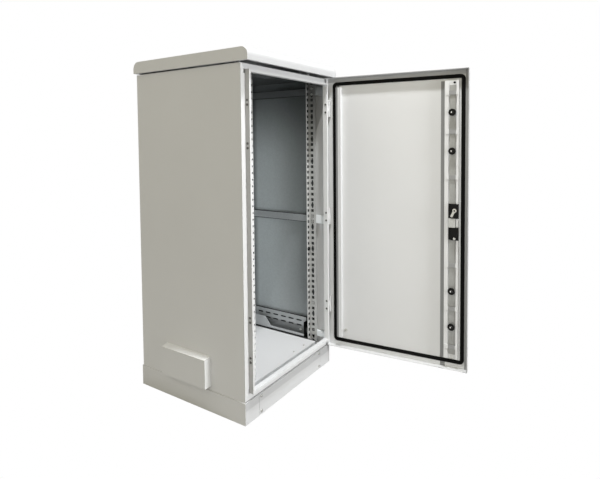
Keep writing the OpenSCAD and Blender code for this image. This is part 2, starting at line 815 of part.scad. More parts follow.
module wide_front_flange() {
  difference() {
    block([wide_x, -post_y, wide_z0], [post_x, -post_y + post_t, plinth_h + post_h]);
    for (i = [1:hole_count - 1])
      rod_y([wide_x + wide_hole_inset, -post_y - past, hole_z(i)], post_t + 2 * past, hole_d);
  }
}

module front_left_post() {
  color(zinc) mirror([1, 0, 0]) union() {
    post();
    wide_front_flange();
  }
}

module front_right_post() { color(zinc) post(); }
module rear_right_post() { color(zinc) mirror([0, 1, 0]) post(); }
module rear_left_post() { color(zinc) mirror([1, 0, 0]) mirror([0, 1, 0]) post(); }

// Depth rails behind the posts: channels from the front frame to the rear panel, on the right side
lower_rail_z = between_holes(1);
lower_bolt_z = hole_z(1) + (long_slot - hole_d) / 2;
middle_rail_z = between_holes(middle_rail_hole);
upper_rail_z = between_holes(upper_rail_hole);
middle_bolt_zs = [hole_z(middle_rail_hole), hole_z(middle_rail_hole + 1)];
upper_bolt_zs = [hole_z(upper_rail_hole), hole_z(upper_rail_hole + 1)];

module rail(z, h, bolts) {
  difference() {
    between_y(rail_y0, rail_y1)
      polygon(folded([[rail_x, z - h / 2], [post_x, z - h / 2],
                      [post_x, z + h / 2], [rail_x, z + h / 2]], -rail_t));
    for (b = bolts)
      rod_x([post_x - past, b[0], b[1]], rail_t + 2 * past, m6_d + 2 * fixed_fit);
  }
}

function at_posts(zs) = [for (z = zs, y = [-web_hole_y, web_hole_y]) [y, z]];
runner_y0 = -post_inner_y + runner_gap_front;
runner_y1 = post_inner_y - runner_gap_rear;
runner_bolts = [for (y = [runner_y0 + 30, runner_y1 - 30]) [y, lower_rail_z]];

module lower_rail() { rail(lower_rail_z, lower_rail_h, concat(at_posts([lower_bolt_z]), runner_bolts)); }
module middle_rail() { rail(middle_rail_z, rail_h, at_posts(middle_bolt_zs)); }
module upper_rail() { rail(upper_rail_z, rail_h, at_posts(upper_bolt_zs)); }

module lower_right_rail() { color(zinc) lower_rail(); }
module lower_left_rail() { color(zinc) mirror([1, 0, 0]) lower_rail(); }
module middle_right_rail() { color(zinc) middle_rail(); }
module middle_left_rail() { color(zinc) mirror([1, 0, 0]) middle_rail(); }
module upper_right_rail() { color(zinc) upper_rail(); }
module upper_left_rail() { color(zinc) mirror([1, 0, 0]) upper_rail(); }

// Slotted runners: an angle on the lower rail, two rows of slots, and a slotted ledge with a stepped lip
runner_z0 = floor_z + 4;
runner_l = runner_y1 - runner_y0;
runner_slots = floor((runner_l - 20) / (1.5 * runner_slot));

module runner_slot_row(z, w) {
  for (i = [0:runner_slots - 1])
    translate([(runner_y0 + runner_y1) / 2 + (i - (runner_slots - 1) / 2) * 1.5 * runner_slot, z])
      rotate(90) slot(w, runner_slot);
}

runner_path = [[post_x, runner_z0 + runner_h], [post_x, runner_z0], [post_x - runner_w, runner_z0]];
lip_y = runner_y1 - lip_rear;
lip_path = [[runner_y0, runner_z0], [runner_y1, runner_z0], [runner_y1, runner_z0 + lip_high],
            [lip_y, runner_z0 + lip_high], [lip_y - lip_slant, runner_z0 + lip_low],
            [runner_y0, runner_z0 + lip_low]];

module runner() {
  difference() {
    union() {
      between_y(runner_y0, runner_y1) polygon(folded(runner_path, -runner_t));
      between_x(post_x - runner_w, post_x - runner_w + runner_t) polygon(lip_path);
    }
    between_x(post_x - runner_t - past, post_x + past) {
      runner_slot_row(runner_z0 + runner_h * 0.48, runner_slot_h);
      runner_slot_row(runner_z0 + runner_h * 0.76, runner_slot_h);
    }
    translate([post_x - runner_w / 2, 0, runner_z0 - past]) linear_extrude(runner_t + 2 * past)
      rotate(90) runner_slot_row(0, runner_slot_h);
    for (b = runner_bolts)
      rod_x([post_x - runner_t - past, b[0], b[1]], runner_t + 2 * past, m6_d + 2 * bolt_fit);
  }
}

module right_runner() { color(dark) runner(); }
module left_runner() { color(dark) mirror([1, 0, 0]) runner(); }

module runner_end_caps() {
  color(black) both_x()
    block([post_x - runner_w, runner_y0 - 2, runner_z0], [post_x, runner_y0, runner_z0 + runner_cap_h]);
}

// Bolts through posts and runners into the rails, and a spare bolt in the front right post
module rail_bolt(y, z, grip) {
  translate([post_x - grip, y, z]) rotate([0, 90, 0])
    hex_bolt(m6_d, m6_hex, m6_hex_h, grip + rail_t + 4);
}

module rail_bolts() {
  color(zinc) {
    both_x() {
      for (b = at_posts(concat([lower_bolt_z], middle_bolt_zs, upper_bolt_zs)))
        rail_bolt(b[0], b[1], post_t);
      for (b = runner_bolts) rail_bolt(b[0], b[1], runner_t);
    }
    rail_bolt(-web_hole_y, hole_z(7), post_t);
  }
}

module post_plug() {
  color(black) translate([flange_hole_x, -post_inner_y - post_t, hole_z(plug_hole)]) rotate([-90, 0, 0])
    pan_screw(hole_d - 2 * fixed_fit, plug_d, 5, 3 * post_t);
}

// Hinges: a leaf on the rim, a leaf on the door and a pin through their knuckles
module hinge_frame_leaf() {
  difference() {
    union() {
      block([rim_x, rim_y + 2, -hinge_h / 2], [rim_x + leaf_t, front_y - 1, hinge_h / 2]);
      block([rim_x, pivot_y - 2, -knuckle_h / 2], [pivot_x, pivot_y + 2, knuckle_h / 2]);
      rod_z([pivot_x, pivot_y, -knuckle_h / 2], knuckle_h, knuckle_d);
    }
    rod_z([pivot_x, pivot_y, -hinge_h / 2], hinge_h, pin_d + 2 * fixed_fit);
    for (dz = [-1, 1])
      rod_x([rim_x - past, hinge_screw_y, dz * hinge_screw_dz], leaf_t + 2 * past, m5_d + 2 * fixed_fit);
  }
}

module hinge_door_leaf() {
  edge_x = body_x - door_t;
  lug_x = pivot_x - 5;
  difference() {
    union() {
      block([lug_x, skin_y, -hinge_h / 2], [edge_x, pivot_y, hinge_h / 2]);
      rod_z([pivot_x, pivot_y, -hinge_h / 2], hinge_h, knuckle_d);
    }
    block([lug_x - past, pivot_y - knuckle_d / 2 - 1, -knuckle_h / 2 - slide_gap],
          [edge_x + past, pivot_y + knuckle_d, knuckle_h / 2 + slide_gap]);
    rod_z([pivot_x, pivot_y, -hinge_h], 2 * hinge_h, pin_d + 2 * run_fit);
  }
}

module hinge_frame_leaves() {
  color(paint) for (z = hinge_zs) translate([0, 0, z]) hinge_frame_leaf();
}

module hinge_door_leaves() {
  color(paint) on_door() for (z = hinge_zs) translate([0, 0, z]) hinge_door_leaf();
}

module hinge_pins() {
  color(zinc) for (z = hinge_zs) {
    rod_z([pivot_x, pivot_y, z - hinge_h / 2], hinge_h + 1, pin_d);
    rod_z([pivot_x, pivot_y, z + hinge_h / 2 + slide_gap], 2, 1.5 * pin_d);
  }
}

// Keepers on the left frame member, whose tongues enter the grooves of the rollers
module keeper() {
  difference() {
    union() {
      block([keeper_x, keeper_y, 0], [lock_x - roller_hub_d / 2 - 0.7, keeper_y + keeper_t, keeper_h]);
      block([keeper_x, rim_y + 4, 0], [keeper_x + keeper_t, keeper_y + keeper_t, keeper_h]);
    }
    for (dz = [-1, 1])
      rod_x([keeper_x - past, keeper_screw_y, keeper_h / 2 + dz * keeper_screw_dz],
            keeper_t + 2 * past, m5_d + 2 * fixed_fit);
  }
}

module lock_keepers() { color(zinc) for (z = keeper_zs) translate([0, 0, z]) keeper(); }

// Screws through the rim: from the doorway into the hinges, from outside into the keepers
module frame_screws() {
  color(zinc) {
    for (z = hinge_zs, dz = [-1, 1])
      translate([jamb_x, hinge_screw_y, z + dz * hinge_screw_dz]) rotate([0, 90, 0])
        pan_screw(m5_d, m5_head, m5_head_h, rim_lip + leaf_t);
    for (z = keeper_zs, dz = [-1, 1])
      translate([-rim_x, keeper_screw_y, z + keeper_h / 2 + dz * keeper_screw_dz]) rotate([0, 90, 0])
        pan_screw(m5_d, m5_head, m5_head_h, rim_lip + keeper_t);
  }
}

// Door pan with room for the hinges in its edge and for the spindle in its face
module door_pan() {
  color(paint) on_door() difference() {
    block([-body_x, door_face_y, door_z0], [body_x, door_back_y, door_z1]);
    block([-body_x + door_t, skin_y, door_z0 + door_t],
          [body_x - door_t, door_back_y + past, door_z1 - door_t]);
    for (z = hinge_zs)
      block([body_x - door_t - past, pivot_y - 1.5, z - hinge_h / 2 - 2],
            [body_x + past, door_back_y + past, z + hinge_h / 2 + 2]);
    rod_y([lock_x, door_face_y - past, handle_z], door_t + 2 * past, spindle_d + 2);
  }
}

module door_seal() {
  color(black) on_door() between_y(skin_y, rim_y - seal_gap) difference() {
    round_rect(seal_x0, seal_z0, seal_x1, seal_z1, seal_r);
    round_rect(seal_x0 + seal_w, seal_z0 + seal_w, seal_x1 - seal_w, seal_z1 - seal_w, seal_r - seal_w);
  }
}

// Stiffeners: folded sections along the door, drawn in plan and raised between the seal's ends
module stiffener(path) {
  translate([0, 0, stiff_z0]) linear_extrude(stiff_z1 - stiff_z0) polygon(folded(path, -stiff_t));
}

hinge_stiff_x1 = seal_x1 - seal_w - hinge_stiff_gap;
hinge_stiff_x0 = hinge_stiff_x1 - hinge_stiff_w;

module hinge_stiffener() {
  color(paint) on_door()
    stiffener([[hinge_stiff_x0, skin_y], [hinge_stiff_x0, ridge_y], [hinge_stiff_x1, ridge_y],
               [hinge_stiff_x1, skin_y]]);
}

trough_x0 = lock_x - trough_w / 2;
trough_x1 = lock_x + trough_w / 2;

module lock_stiffener() {
  x0 = trough_x0 - ridge_free_w;
  x1 = trough_x1 + ridge_w;
  color(paint) on_door() difference() {
    stiffener([[x0, skin_y], [x0, ridge_y], [trough_x0, ridge_y], [trough_x0, trough_y],
               [trough_x1, trough_y], [trough_x1, ridge_y], [x1, ridge_y], [x1, skin_y]]);
    rod_y([lock_x, skin_y, handle_z], trough_rise + past, spindle_d + 2);
  }
}

// Lock housings over the rod ends: a foot in the trough under a box across the free ridge
housing_x = keeper_x + housing_clear;

module lock_housing(h, z0, z1) {
  difference() {
    union() {
      block([lock_x - housing_foot_w / 2, trough_y, 0], [lock_x + housing_foot_w / 2, ridge_y + past, h]);
      block([housing_x, ridge_y, 0], [housing_x + housing_w, ridge_y + housing_out, h]);
    }
    block([lock_x - rod_w / 2 - slide_gap, trough_y - past, z0],
          [lock_x + rod_w / 2 + slide_gap, rod_y1 + slide_gap, z1]);
  }
}

module upper_lock_housing() {
  color(black) on_door() translate([0, 0, case_z1])
    lock_housing(upper_housing_h, rod_end - rod_tail, upper_housing_h + past);
}

module lower_lock_housing() {
  color(black) on_door() translate([0, 0, case_z0 - lower_housing_h])
    lock_housing(lower_housing_h, -past, lower_housing_h - rod_end + rod_tail);
}

module lock_case() {
  color(zinc) on_door() difference() {
    block([lock_x - case_w / 2, trough_y, case_z0], [lock_x + case_w / 2, trough_y + case_out, case_z1]);
    rod_y([lock_x, trough_y - past, handle_z], spindle_end - trough_y + past + slide_gap,
          spindle_d + 2 * run_fit);
  }
}

// Guides across the trough hold the rods down
guide_h = 16;
guide_t = 2;
guide_zs = [rod_top - guide_inset, (upper_zs[0] + upper_zs[1]) / 2,
            (upper_zs[1] + case_z1 + upper_housing_h) / 2, (lower_zs[1] + case_z0 - lower_housing_h) / 2,
            (lower_zs[0] + lower_zs[1]) / 2, rod_foot + guide_inset];

module rod_guides() {
  color(zinc) on_door() for (z = guide_zs) {
    block([trough_x0 - ridge_free_w + 2, ridge_y, z - guide_h / 2],
          [trough_x1 + ridge_w - 3, ridge_y + guide_t, z + guide_h / 2]);
    block([lock_x - rod_w / 2, rod_y1 + slide_gap, z - guide_h / 2],
          [lock_x + rod_w / 2, ridge_y, z + guide_h / 2]);
  }
}

earth_stud_d = 8;

module door_earth_stud() {
  x = hinge_stiff_x0 - stud_offset;
  color(zinc) on_door() {
    rod_y([x, skin_y, stiff_z0 + 30], 18, earth_stud_d);
    translate([x, skin_y, stiff_z0 + 30]) rotate([-90, 0, 0])
      cylinder(d = 2 * earth_stud_d, h = 0.8 * earth_stud_d, $fn = 6);
  }
}

// Handle frame: X along the lever, Y across it, Z out of the door's face
module on_handle() {
  on_door() translate([lock_x, door_face_y, handle_z]) rotate([90, 0, 0]) children();
}

module handle_base() {
  y0 = -lever_l - 6;
  y1 = base_w / 2 + 8;
  color(black) on_handle() difference() {
    translate([0, (y0 + y1) / 2, 0]) linear_extrude(base_t) slot(base_w, y1 - y0);
    translate([0, 0, -past]) cylinder(d = spindle_d + 2 * run_fit, h = base_t + 2 * past);
  }
}

module handle_spindle() {
  inner_l = spindle_end - door_face_y;
  color(zinc) on_handle() difference() {
    union() {
      translate([0, 0, -inner_l]) cylinder(d = spindle_d, h = inner_l + base_t + 0.2);
      block([-tongue_l / 2, -tongue_w / 2, base_t], [tongue_l / 2, tongue_w / 2, lever_axis + lever_t / 2]);
    }
    translate([0, 0, lever_axis]) rotate([90, 0, 0])
      cylinder(d = pin_d + 2 * run_fit, h = lever_w, center = true);
  }
}

module handle_lever() {
  top = lever_y + lever_t;
  round_at = lever_l - lever_w / 2;
  color(black) on_handle() difference() {
    intersection() {
      union() {
        translate([0, 0, lever_axis]) rotate([90, 0, 0]) cylinder(d = lever_t, h = lever_w, center = true);
        block([0, -lever_w / 2, lever_y], [lever_l, lever_w / 2, top]);
      }
      union() {
        block([-lever_t, -lever_w / 2, 0], [round_at, lever_w / 2, top + past]);
        translate([round_at, 0, 0]) cylinder(d = lever_w, h = top + past);
      }
    }
    block([-lever_t, -tongue_w / 2 - slide_gap, 0],
          [tongue_l / 2 + lever_t / 2 - 1, tongue_w / 2 + slide_gap, top + past]);
    translate([0, 0, lever_axis]) rotate([90, 0, 0])
      cylinder(d = pin_d + 2 * fixed_fit, h = 2 * lever_w, center = true);
    translate([key_at, 0, 0]) cylinder(d = key_d + 2 * run_fit, h = top + past);
  }
}

module lever_pin() {
  color(zinc) on_handle()
    translate([0, 0, lever_axis]) rotate([90, 0, 0]) cylinder(d = pin_d, h = lever_w - 1, center = true);
}

module key_cylinder() {
  color(zinc) on_handle() translate([key_at, 0, lever_y]) difference() {
    cylinder(d = key_d, h = lever_t + 0.5);
    block([-key_d * 0.3, -0.8, lever_t - 4], [key_d * 0.3, 0.8, lever_t + past]);
  }
}

// Lock rods with the studs that carry the rollers
module roller_stud(z) {
  rod_y([lock_x, rod_y1, z], roller_l + 2 * slide_gap, stud_d);
  rod_y([lock_x, rod_y1 + roller_l + 2 * slide_gap, z], 2, stud_d + 3);
}

module upper_lock_rod() {
  color(zinc) on_door() {
    block([lock_x - rod_w / 2, rod_y0, case_z1 + rod_end], [lock_x + rod_w / 2, rod_y1, rod_top]);
    for (z = upper_zs) roller_stud(z);
  }
}

module lower_lock_rod() {
  color(zinc) on_door() {
    block([lock_x - rod_w / 2, rod_y0, rod_foot], [lock_x + rod_w / 2, rod_y1, case_z0 - rod_end]);
    for (z = lower_zs) roller_stud(z);
  }
}

// Roller: a spool whose groove lies between a base flange and a wider inner flange
module roller(z) {
  bore = stud_d / 2 + run_fit;
  groove_z = roller_rim + groove_w;
  color(black) on_door() translate([lock_x, roller_y, z]) rotate([-90, 0, 0]) rotate_extrude()
    polygon([[bore, 0], [roller_base_d / 2, 0], [roller_base_d / 2, roller_rim],
             [roller_hub_d / 2, roller_rim], [roller_hub_d / 2, groove_z], [roller_d / 2, groove_z],
             [roller_d / 2, roller_l - 1], [roller_d / 2 - 1, roller_l], [bore, roller_l]]);
}

module upper_outer_roller() { roller(upper_zs[0]); }
module upper_inner_roller() { roller(upper_zs[1]); }
module lower_inner_roller() { roller(lower_zs[1]); }
module lower_outer_roller() { roller(lower_zs[0]); }

plinth_frame();
plinth_front_cover();
plinth_cover_screws();
floor_plate();
panel_screws();
left_side_panel();
right_side_panel();
rear_panel();
rear_panel_rivets();
top_plate();
left_frame_member();
right_frame_member();
frame_head();
frame_sill();
roof_canopy();
roof_spacers();
roof_bolts();
vent_cowl();
vent_filter();
front_left_post();
front_right_post();
rear_left_post();
rear_right_post();
upper_left_rail();
upper_right_rail();
middle_left_rail();
middle_right_rail();
lower_left_rail();
lower_right_rail();
left_runner();
right_runner();
runner_end_caps();
rail_bolts();
post_plug();
hinge_frame_leaves();
hinge_pins();
frame_screws();
lock_keepers();
door_pan();
door_seal();
hinge_stiffener();
lock_stiffener();
hinge_door_leaves();
upper_lock_housing();
lower_lock_housing();
lock_case();
rod_guides();
door_earth_stud();
handle_base();
handle_spindle();
handle_lever();
lever_pin();
key_cylinder();
upper_lock_rod();
lower_lock_rod();
upper_outer_roller();
upper_inner_roller();
lower_inner_roller();
lower_outer_roller();
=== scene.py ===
import json
import math

import bmesh
import bpy
import numpy as np
from mathutils import Matrix, Vector, noise


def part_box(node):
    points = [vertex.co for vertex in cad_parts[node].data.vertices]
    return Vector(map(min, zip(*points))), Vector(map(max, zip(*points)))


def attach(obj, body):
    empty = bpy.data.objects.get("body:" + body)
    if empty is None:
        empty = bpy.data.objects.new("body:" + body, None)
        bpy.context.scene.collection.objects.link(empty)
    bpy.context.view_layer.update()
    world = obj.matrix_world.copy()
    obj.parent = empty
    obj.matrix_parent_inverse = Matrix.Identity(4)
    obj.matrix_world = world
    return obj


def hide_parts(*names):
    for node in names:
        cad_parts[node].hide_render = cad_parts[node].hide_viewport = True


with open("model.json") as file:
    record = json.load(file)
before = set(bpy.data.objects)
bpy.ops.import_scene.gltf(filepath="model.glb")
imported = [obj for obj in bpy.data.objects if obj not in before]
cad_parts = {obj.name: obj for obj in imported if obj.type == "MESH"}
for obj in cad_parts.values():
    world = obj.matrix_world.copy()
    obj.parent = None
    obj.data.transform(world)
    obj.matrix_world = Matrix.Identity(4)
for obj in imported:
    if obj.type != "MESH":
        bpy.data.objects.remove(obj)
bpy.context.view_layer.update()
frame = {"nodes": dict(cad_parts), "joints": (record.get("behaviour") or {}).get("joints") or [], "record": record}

bl_info = {
    "name": "Utility cabinet dressing",
    "version": (1, 0, 0),
    "blender": (4, 5, 0),
    "location": "View3D > Sidebar > Cabinet",
    "description": "Finishes, fasteners, seal, filter mat and studio for an outdoor utility cabinet",
    "category": "Object",
}

MM = 0.001
LEFTWARD = (-1, 0, 0)
RIGHTWARD = (1, 0, 0)
FORWARD = (0, -1, 0)
BACKWARD = (0, 1, 0)
UPWARD = (0, 0, 1)
DOWNWARD = (0, 0, -1)

NODES = frame["nodes"]
BODY_OF = {n: b for b, group in frame["record"]["behaviour"]["bodies"].items() for n in group}
SLOT_OF = {p["node"]: p["material_slot"] for p in frame["record"]["subparts"]}
HINGE = next(j for j in frame["joints"] if j["name"] == "door_hinge")

SEAL_W = 15 * MM

# How near points count as one, and the angles from which edges stay sharp or are rounded
SAME_POINT = 0.001 * MM
SHARP_ANGLE = math.radians(38)
BEVEL_ANGLE = math.radians(35)
BEVEL_STEPS = 2

# Where the paint ends on the side panels, and the stretches behind it where the zinc gets painted shade
PAINT_TO_Y = -206 * MM
POST_BACK_Y = -166 * MM
OPEN_WALL_Y = 60 * MM
REAR_WALL_Y = (115 * MM, 146 * MM)
DUSK_Z = (900 * MM, 1250 * MM)

# Shares of the zinc's brightness that painted shade takes away there, and the share that the ceiling keeps under
# its painted shade
FRONT_WALL_LOSS = 0.5
REAR_WALL_LOSS = 0.6
BEHIND_POST_LOSS = 0.85
BEHIND_RUNNER_LOSS = 0.99
DUSK_LOSS = 0.65
CEILING_SHARE = 0.08

# Tones of zinc in painted deep shade, and near black for the painted shade round the posts' holes and for the
# studs' black caps
DEEP_SHADE = 0.04
NEAR_BLACK = 0.02

# The runners: top edge, inner lip, and the fade into the painted shade of their lower half
RUNNER_TOP_Z = 183 * MM
RUNNER_LIP_X = 262 * MM
RUNNER_SHADE_Z = (138 * MM, 150 * MM)
RUNNER_SHADE = 0.5

# The posts' rows of holes, and how far the painted shade reaches round a hole, which makes the holes look larger
HOLE_Z = 87 * MM
HOLE_PITCH = 25 * MM
WEB_HOLE_Y = 204 * MM
FLANGE_HOLE_X = 270 * MM
WEB_FROM_X = 278 * MM
FLANGE_TO_Y = 200 * MM
HOLE_SHADE_R = 6.3 * MM

# The studs of the rollers: depth of the black cap, and the painted highlight on it, from the roller's axis
SPINS = [j for j in frame["joints"] if j["name"].endswith("_spin")]
CAP_DEPTH = 1 * MM
HIGHLIGHT_AT_Y = 3 * MM
HIGHLIGHT_R = 3 * MM
HIGHLIGHT_RGB = (0.9, 0.9, 0.9)

# Body panels whose inner side is bare zinc, with the direction that their painted side faces
ZINC_LINED = {
    "left_side_panel": (-1, 1, 0),
    "right_side_panel": (1, 1, 0),
    "rear_panel": BACKWARD,
    "top_plate": UPWARD,
}


def colour(name, description, default):
    """A colour that a user can change."""
    return bpy.props.FloatVectorProperty(
        name=name, description=description, default=default, subtype="COLOR", size=3, min=0, max=1
    )


def number(name, description, default, **options):
    """A number that a user can change."""
    return bpy.props.FloatProperty(name=name, description=description, default=default, **options)


def length(name, description, millimetres):
    """A length that a user can change."""
    return number(name, description, millimetres * MM, unit="LENGTH", subtype="DISTANCE", min=0)


def share(name, description, default):
    """A share from 0 to 1 that a user can change."""
    return number(name, description, default, subtype="FACTOR", min=0, max=1)


def power(name, description, watts):
    """The power of a light that a user can change."""
    return number(name, description, watts, unit="POWER", min=0)


class CabinetFinishes(bpy.types.PropertyGroup):
    """Colours and gloss of the cabinet's finishes."""

    paint: colour("Paint", "Light grey powder coat", (0.685, 0.695, 0.707))
    # The frame paint is a lighter copy of the paint, which paints light on the frame's front
    frame: colour("Frame paint", "Powder coat of the frame's upright members", (0.79, 0.80, 0.81))
    zinc_lining: colour("Zinc lining", "Bare inner side of the body panels", (0.60, 0.645, 0.66))
    galvanised: colour("Galvanised", "Runner lips, keepers and spacers", (0.60, 0.62, 0.635))
    rails: colour("Rails", "Dull galvanised depth rails", (0.44, 0.46, 0.475))
    posts: colour("Posts", "Bright galvanised mounting posts", (0.84, 0.85, 0.85))
    rods: colour("Rods", "Dull steel of the lock rods", (0.34, 0.345, 0.34))
    screws: colour("Screws", "Bright zinc on screws and bolts", (0.68, 0.68, 0.66))
    runner: colour("Runners", "Slotted runners by the floor", (0.46, 0.48, 0.49))
    rubber: colour("Seal", "Black rubber of the door seal", (0.003, 0.003, 0.003))
    plastic: colour("Plastic", "Black moulded plastic", (0.004, 0.004, 0.004))
    mat: colour("Filter mat", "Open grey fibre mat", (0.16, 0.16, 0.155))
    chrome: colour("Key cylinder", "Polished key cylinder", (0.78, 0.78, 0.79))
    gloss: share("Paint roughness", "Roughness of the powder coat", 0.46)


class CabinetSizes(bpy.types.PropertyGroup):
    """Sizes of the details that dress the frame."""

    edge: length("Edge radius", "Rounding of the folded sheet's edges", 0.45)
    plastic_edge: length("Plastic edge", "Rounding of the moulded pieces' edges", 1.0)
    peel: length("Orange peel", "Height of the powder coat's texture", 0.03)
    thread: length("Thread pitch", "Distance between the turns of a thread", 1.0)
    mat_pull: share("Mat pull", "How far the mat's sides draw in between its corners", 0.02)


class CabinetStudio(bpy.types.PropertyGroup):
    """Camera and light."""

    camera_at: bpy.props.FloatVectorProperty(
        name="Camera",
        description="Place of the camera",
        default=(-1.57216, -1.33412, 1.00866),
        unit="LENGTH",
    )
    yaw: number("Yaw", "Turn of the view from +Y towards +X", 0.97476, unit="ROTATION")
    pitch: number("Pitch", "Tilt of the view below the horizon", 0.045896, unit="ROTATION")
    roll: number("Roll", "Turn of the camera about its view", -0.010018, unit="ROTATION")
    lens: number("Lens", "Focal length on a 36 mm sensor", 28.766, subtype="DISTANCE_CAMERA")
    shift_x: number("Shift across", "Lens shift to the side", 0.0183)
    shift_y: number("Shift up", "Lens shift up or down", -0.1292)
    high: power("High light", "Power of the light high above the doorway", 64)
    fill: power("Fill light", "Power of the large light at the front", 54)
    side: power("Side light", "Power of the upright light beside the open door", 0.24)
    inner: power("Inner light", "Power of the soft light inside the cabinet", 0.56)
    ambient: number("Ambient", "Strength of the room's even light from front and back", 0.26)
    left: number("Left light", "Strength of the room's even light from the left", 0.95)
    right: number("Right light", "Strength of the even light from the right and rear", 0.85)
    left_tint: colour("Left tint", "Colour of the even light from the left", (1.0, 0.935, 0.745))


class Value:
    """A socket of a finish. Arithmetic on it adds Math nodes."""

    def __init__(self, finish, socket):
        self.finish = finish
        self.socket = socket

    def __add__(self, other):
        return self.finish.math("ADD", self, other)

    def __sub__(self, other):
        return self.finish.math("SUBTRACT", self, other)

    def __mul__(self, other):
        return self.finish.math("MULTIPLY", self, other)

    def __pow__(self, other):
        return self.finish.math("POWER", self, other)

    def __lt__(self, other):
        return self.finish.math("LESS_THAN", self, other)

    def __gt__(self, other):
        return self.finish.math("GREATER_THAN", self, other)

    def __radd__(self, other):
        return self.finish.math("ADD", other, self)

    def __rsub__(self, other):
        return self.finish.math("SUBTRACT", other, self)


class Finish:
    """A material, or the world's own tree, and the ways to add nodes to it."""

    def __init__(self, name="", tree=None):
        self.tree = tree
        if not tree:
            self.material = bpy.data.materials.new(name)
            self.material.use_nodes = True
            self.tree = self.material.node_tree
            self.shader = self.tree.nodes["Principled BSDF"]

    def seen_as_white(self, shader):
        """Gives off the light of a shader, and shows as plain white to the camera."""
        path = self.add("ShaderNodeLightPath", output="Is Camera Ray")
        white = self.add("ShaderNodeEmission", inputs={"Color": (1, 1, 1)})
        seen = self.add("ShaderNodeMixShader", inputs={0: path, 1: Value(self, shader), 2: white})
        output = next(node for node in self.tree.nodes if node.type.startswith("OUTPUT"))
        self.tree.links.new(seen.socket, output.inputs["Surface"])

    def put(self, socket, value):
        """Links a Value to a socket, or sets the socket to a plain number or colour."""
        if isinstance(value, Value):
            self.tree.links.new(value.socket, socket)
        elif socket.type == "RGBA" and len(value) == 3:
            socket.default_value = (*value, 1)
        else:
            socket.default_value = value

    def add(self, kind, settings=None, inputs=None, output=0):
        """Adds a node, sets its settings and then its sockets, and returns one of its outputs."""
        node = self.tree.nodes.new(kind)
        for key, value in (settings or {}).items():
            setattr(node, key, value)
        for key, value in (inputs or {}).items():
            self.put(node.inputs[key], value)
        return Value(self, node.outputs[output])

    def math(self, operation, first, second):
        """The outcome of one Math node."""
        return self.add("ShaderNodeMath", {"operation": operation}, {0: first, 1: second})

    def mix(self, first, second, factor):
        """A colour between two colours."""
        return self.add("ShaderNodeMix", {"data_type": "RGBA"}, {0: factor, 6: first, 7: second}, 2)

    def place(self):
        """The point on the piece, in metres, which moves with the piece."""
        return self.add("ShaderNodeTexCoord", output="Object")

    def part_of(self, vector, axis):
        """One part of a vector, by the name of its axis."""
        return self.add("ShaderNodeSeparateXYZ", inputs={0: vector}, output=axis)

    def along(self, axis):
        """How far along an axis the point on the piece is, in metres."""
        return self.part_of(self.place(), axis)

    def within(self, axis):
        """How far across the piece's own box the point is, from 0 to 1."""
        return self.part_of(self.add("ShaderNodeTexCoord", output="Generated"), axis)

    def facing(self, direction):
        """How far the surface looks in a direction, from -1 to 1."""
        return self.dot(self.add("ShaderNodeTexCoord", output="Normal"), direction)

    def faces(self, direction):
        """1 where the surface mostly looks in a direction, and 0 elsewhere."""
        return self.facing(direction) > 0.5

    def dot(self, vector, direction):
        """How far a vector goes in a direction."""
        return self.add(
            "ShaderNodeVectorMath", {"operation": "DOT_PRODUCT"}, {0: vector, 1: direction}, "Value"
        )

    def size_of(self, value):
        """A number without its sign."""
        return self.math("ABSOLUTE", value, 0.0)

    def most(self, first, *others):
        """The largest of some values."""
        for other in others:
            first = self.math("MAXIMUM", first, other)
        return first

    def fade(self, value, start, end):
        """A smooth step from 0 at start to 1 at end."""
        settings = {"interpolation_type": "SMOOTHSTEP"}
        inputs = {"Value": value, "From Min": start, "From Max": end}
        return self.add("ShaderNodeMapRange", settings, inputs)

    def noise(self, scale, detail=2.0, stretch=(1, 1, 1)):
        """Soft noise from 0 to 1, with features about 1 / scale metres wide."""
        at = self.add("ShaderNodeVectorMath", {"operation": "MULTIPLY"}, {0: self.place(), 1: stretch})
        return self.add("ShaderNodeTexNoise", inputs={"Vector": at, "Scale": scale, "Detail": detail})

    def cells(self, scale, output):
        """Cells about 1 / scale metres wide."""
        inputs = {"Vector": self.place(), "Scale": scale}
        return self.add("ShaderNodeTexVoronoi", inputs=inputs, output=output)

    def bump(self, height, distance):
        """A relief that rises by a distance where height is 1."""
        return self.add("ShaderNodeBump", inputs={"Height": height, "Distance": distance})

    def surface(self, **sockets):
        """Sets the shader's sockets by name, with underscores for spaces, and returns the material."""
        for key, value in sockets.items():
            self.put(self.shader.inputs[key.replace("_", " ")], value)
        return self.material


def tone(rgb, factor):
    """A colour made lighter or darker."""
    return tuple(min(1.0, c * factor) for c in rgb)


# Roughness of each finish: its smoothest value, and what wear adds to it
GALVANISED_ROUGH = (0.30, 0.22)
RUNNER_ROUGH = (0.36, 0.15)
RUBBER_ROUGH = (0.55, 0.2)
PLASTIC_ROUGH = (0.30, 0.16)
TURNED_ROUGH = 0.12

# Powder coat: its two tones, what the orange peel does to the roughness, and the clear film
PAINT_TONES = (0.965, 1.02)
PEEL_ROUGH = 0.10
CLEAR_FILM = 0.04

# The bare zinc side of a painted panel: how metallic it is, and how much smoother than the paint
BARE_METAL = 0.45
BARE_SMOOTHER = 0.06

# Tones of the flakes in spangled zinc, and the share that the flakes have beside the streaks
SPANGLE_TONES = (0.93, 1.06)
FLAKE_SHARE = 0.55

# The rails: height of the painted shade along their edges as a share of the rail, and the tones of that shade and
# of the painted light on their front end
RAIL_EDGE = 0.08
RAIL_EDGE_SHADE = 0.25
RAIL_END_LIGHT = 2.1

# Tones of worn patches
SMEAR_TONE = 0.9
RUB_TONE = 1.25
BLOOM_TONE = 2.2
WEAR_TONE = 1.9
FIBRE_TONES = (0.35, 1.3)
PORE_DEPTH = 0.7


def worn(rough, wear):
    """Roughness of a finish where it is worn by a share."""
    smoothest, added = rough
    return smoothest + wear * added


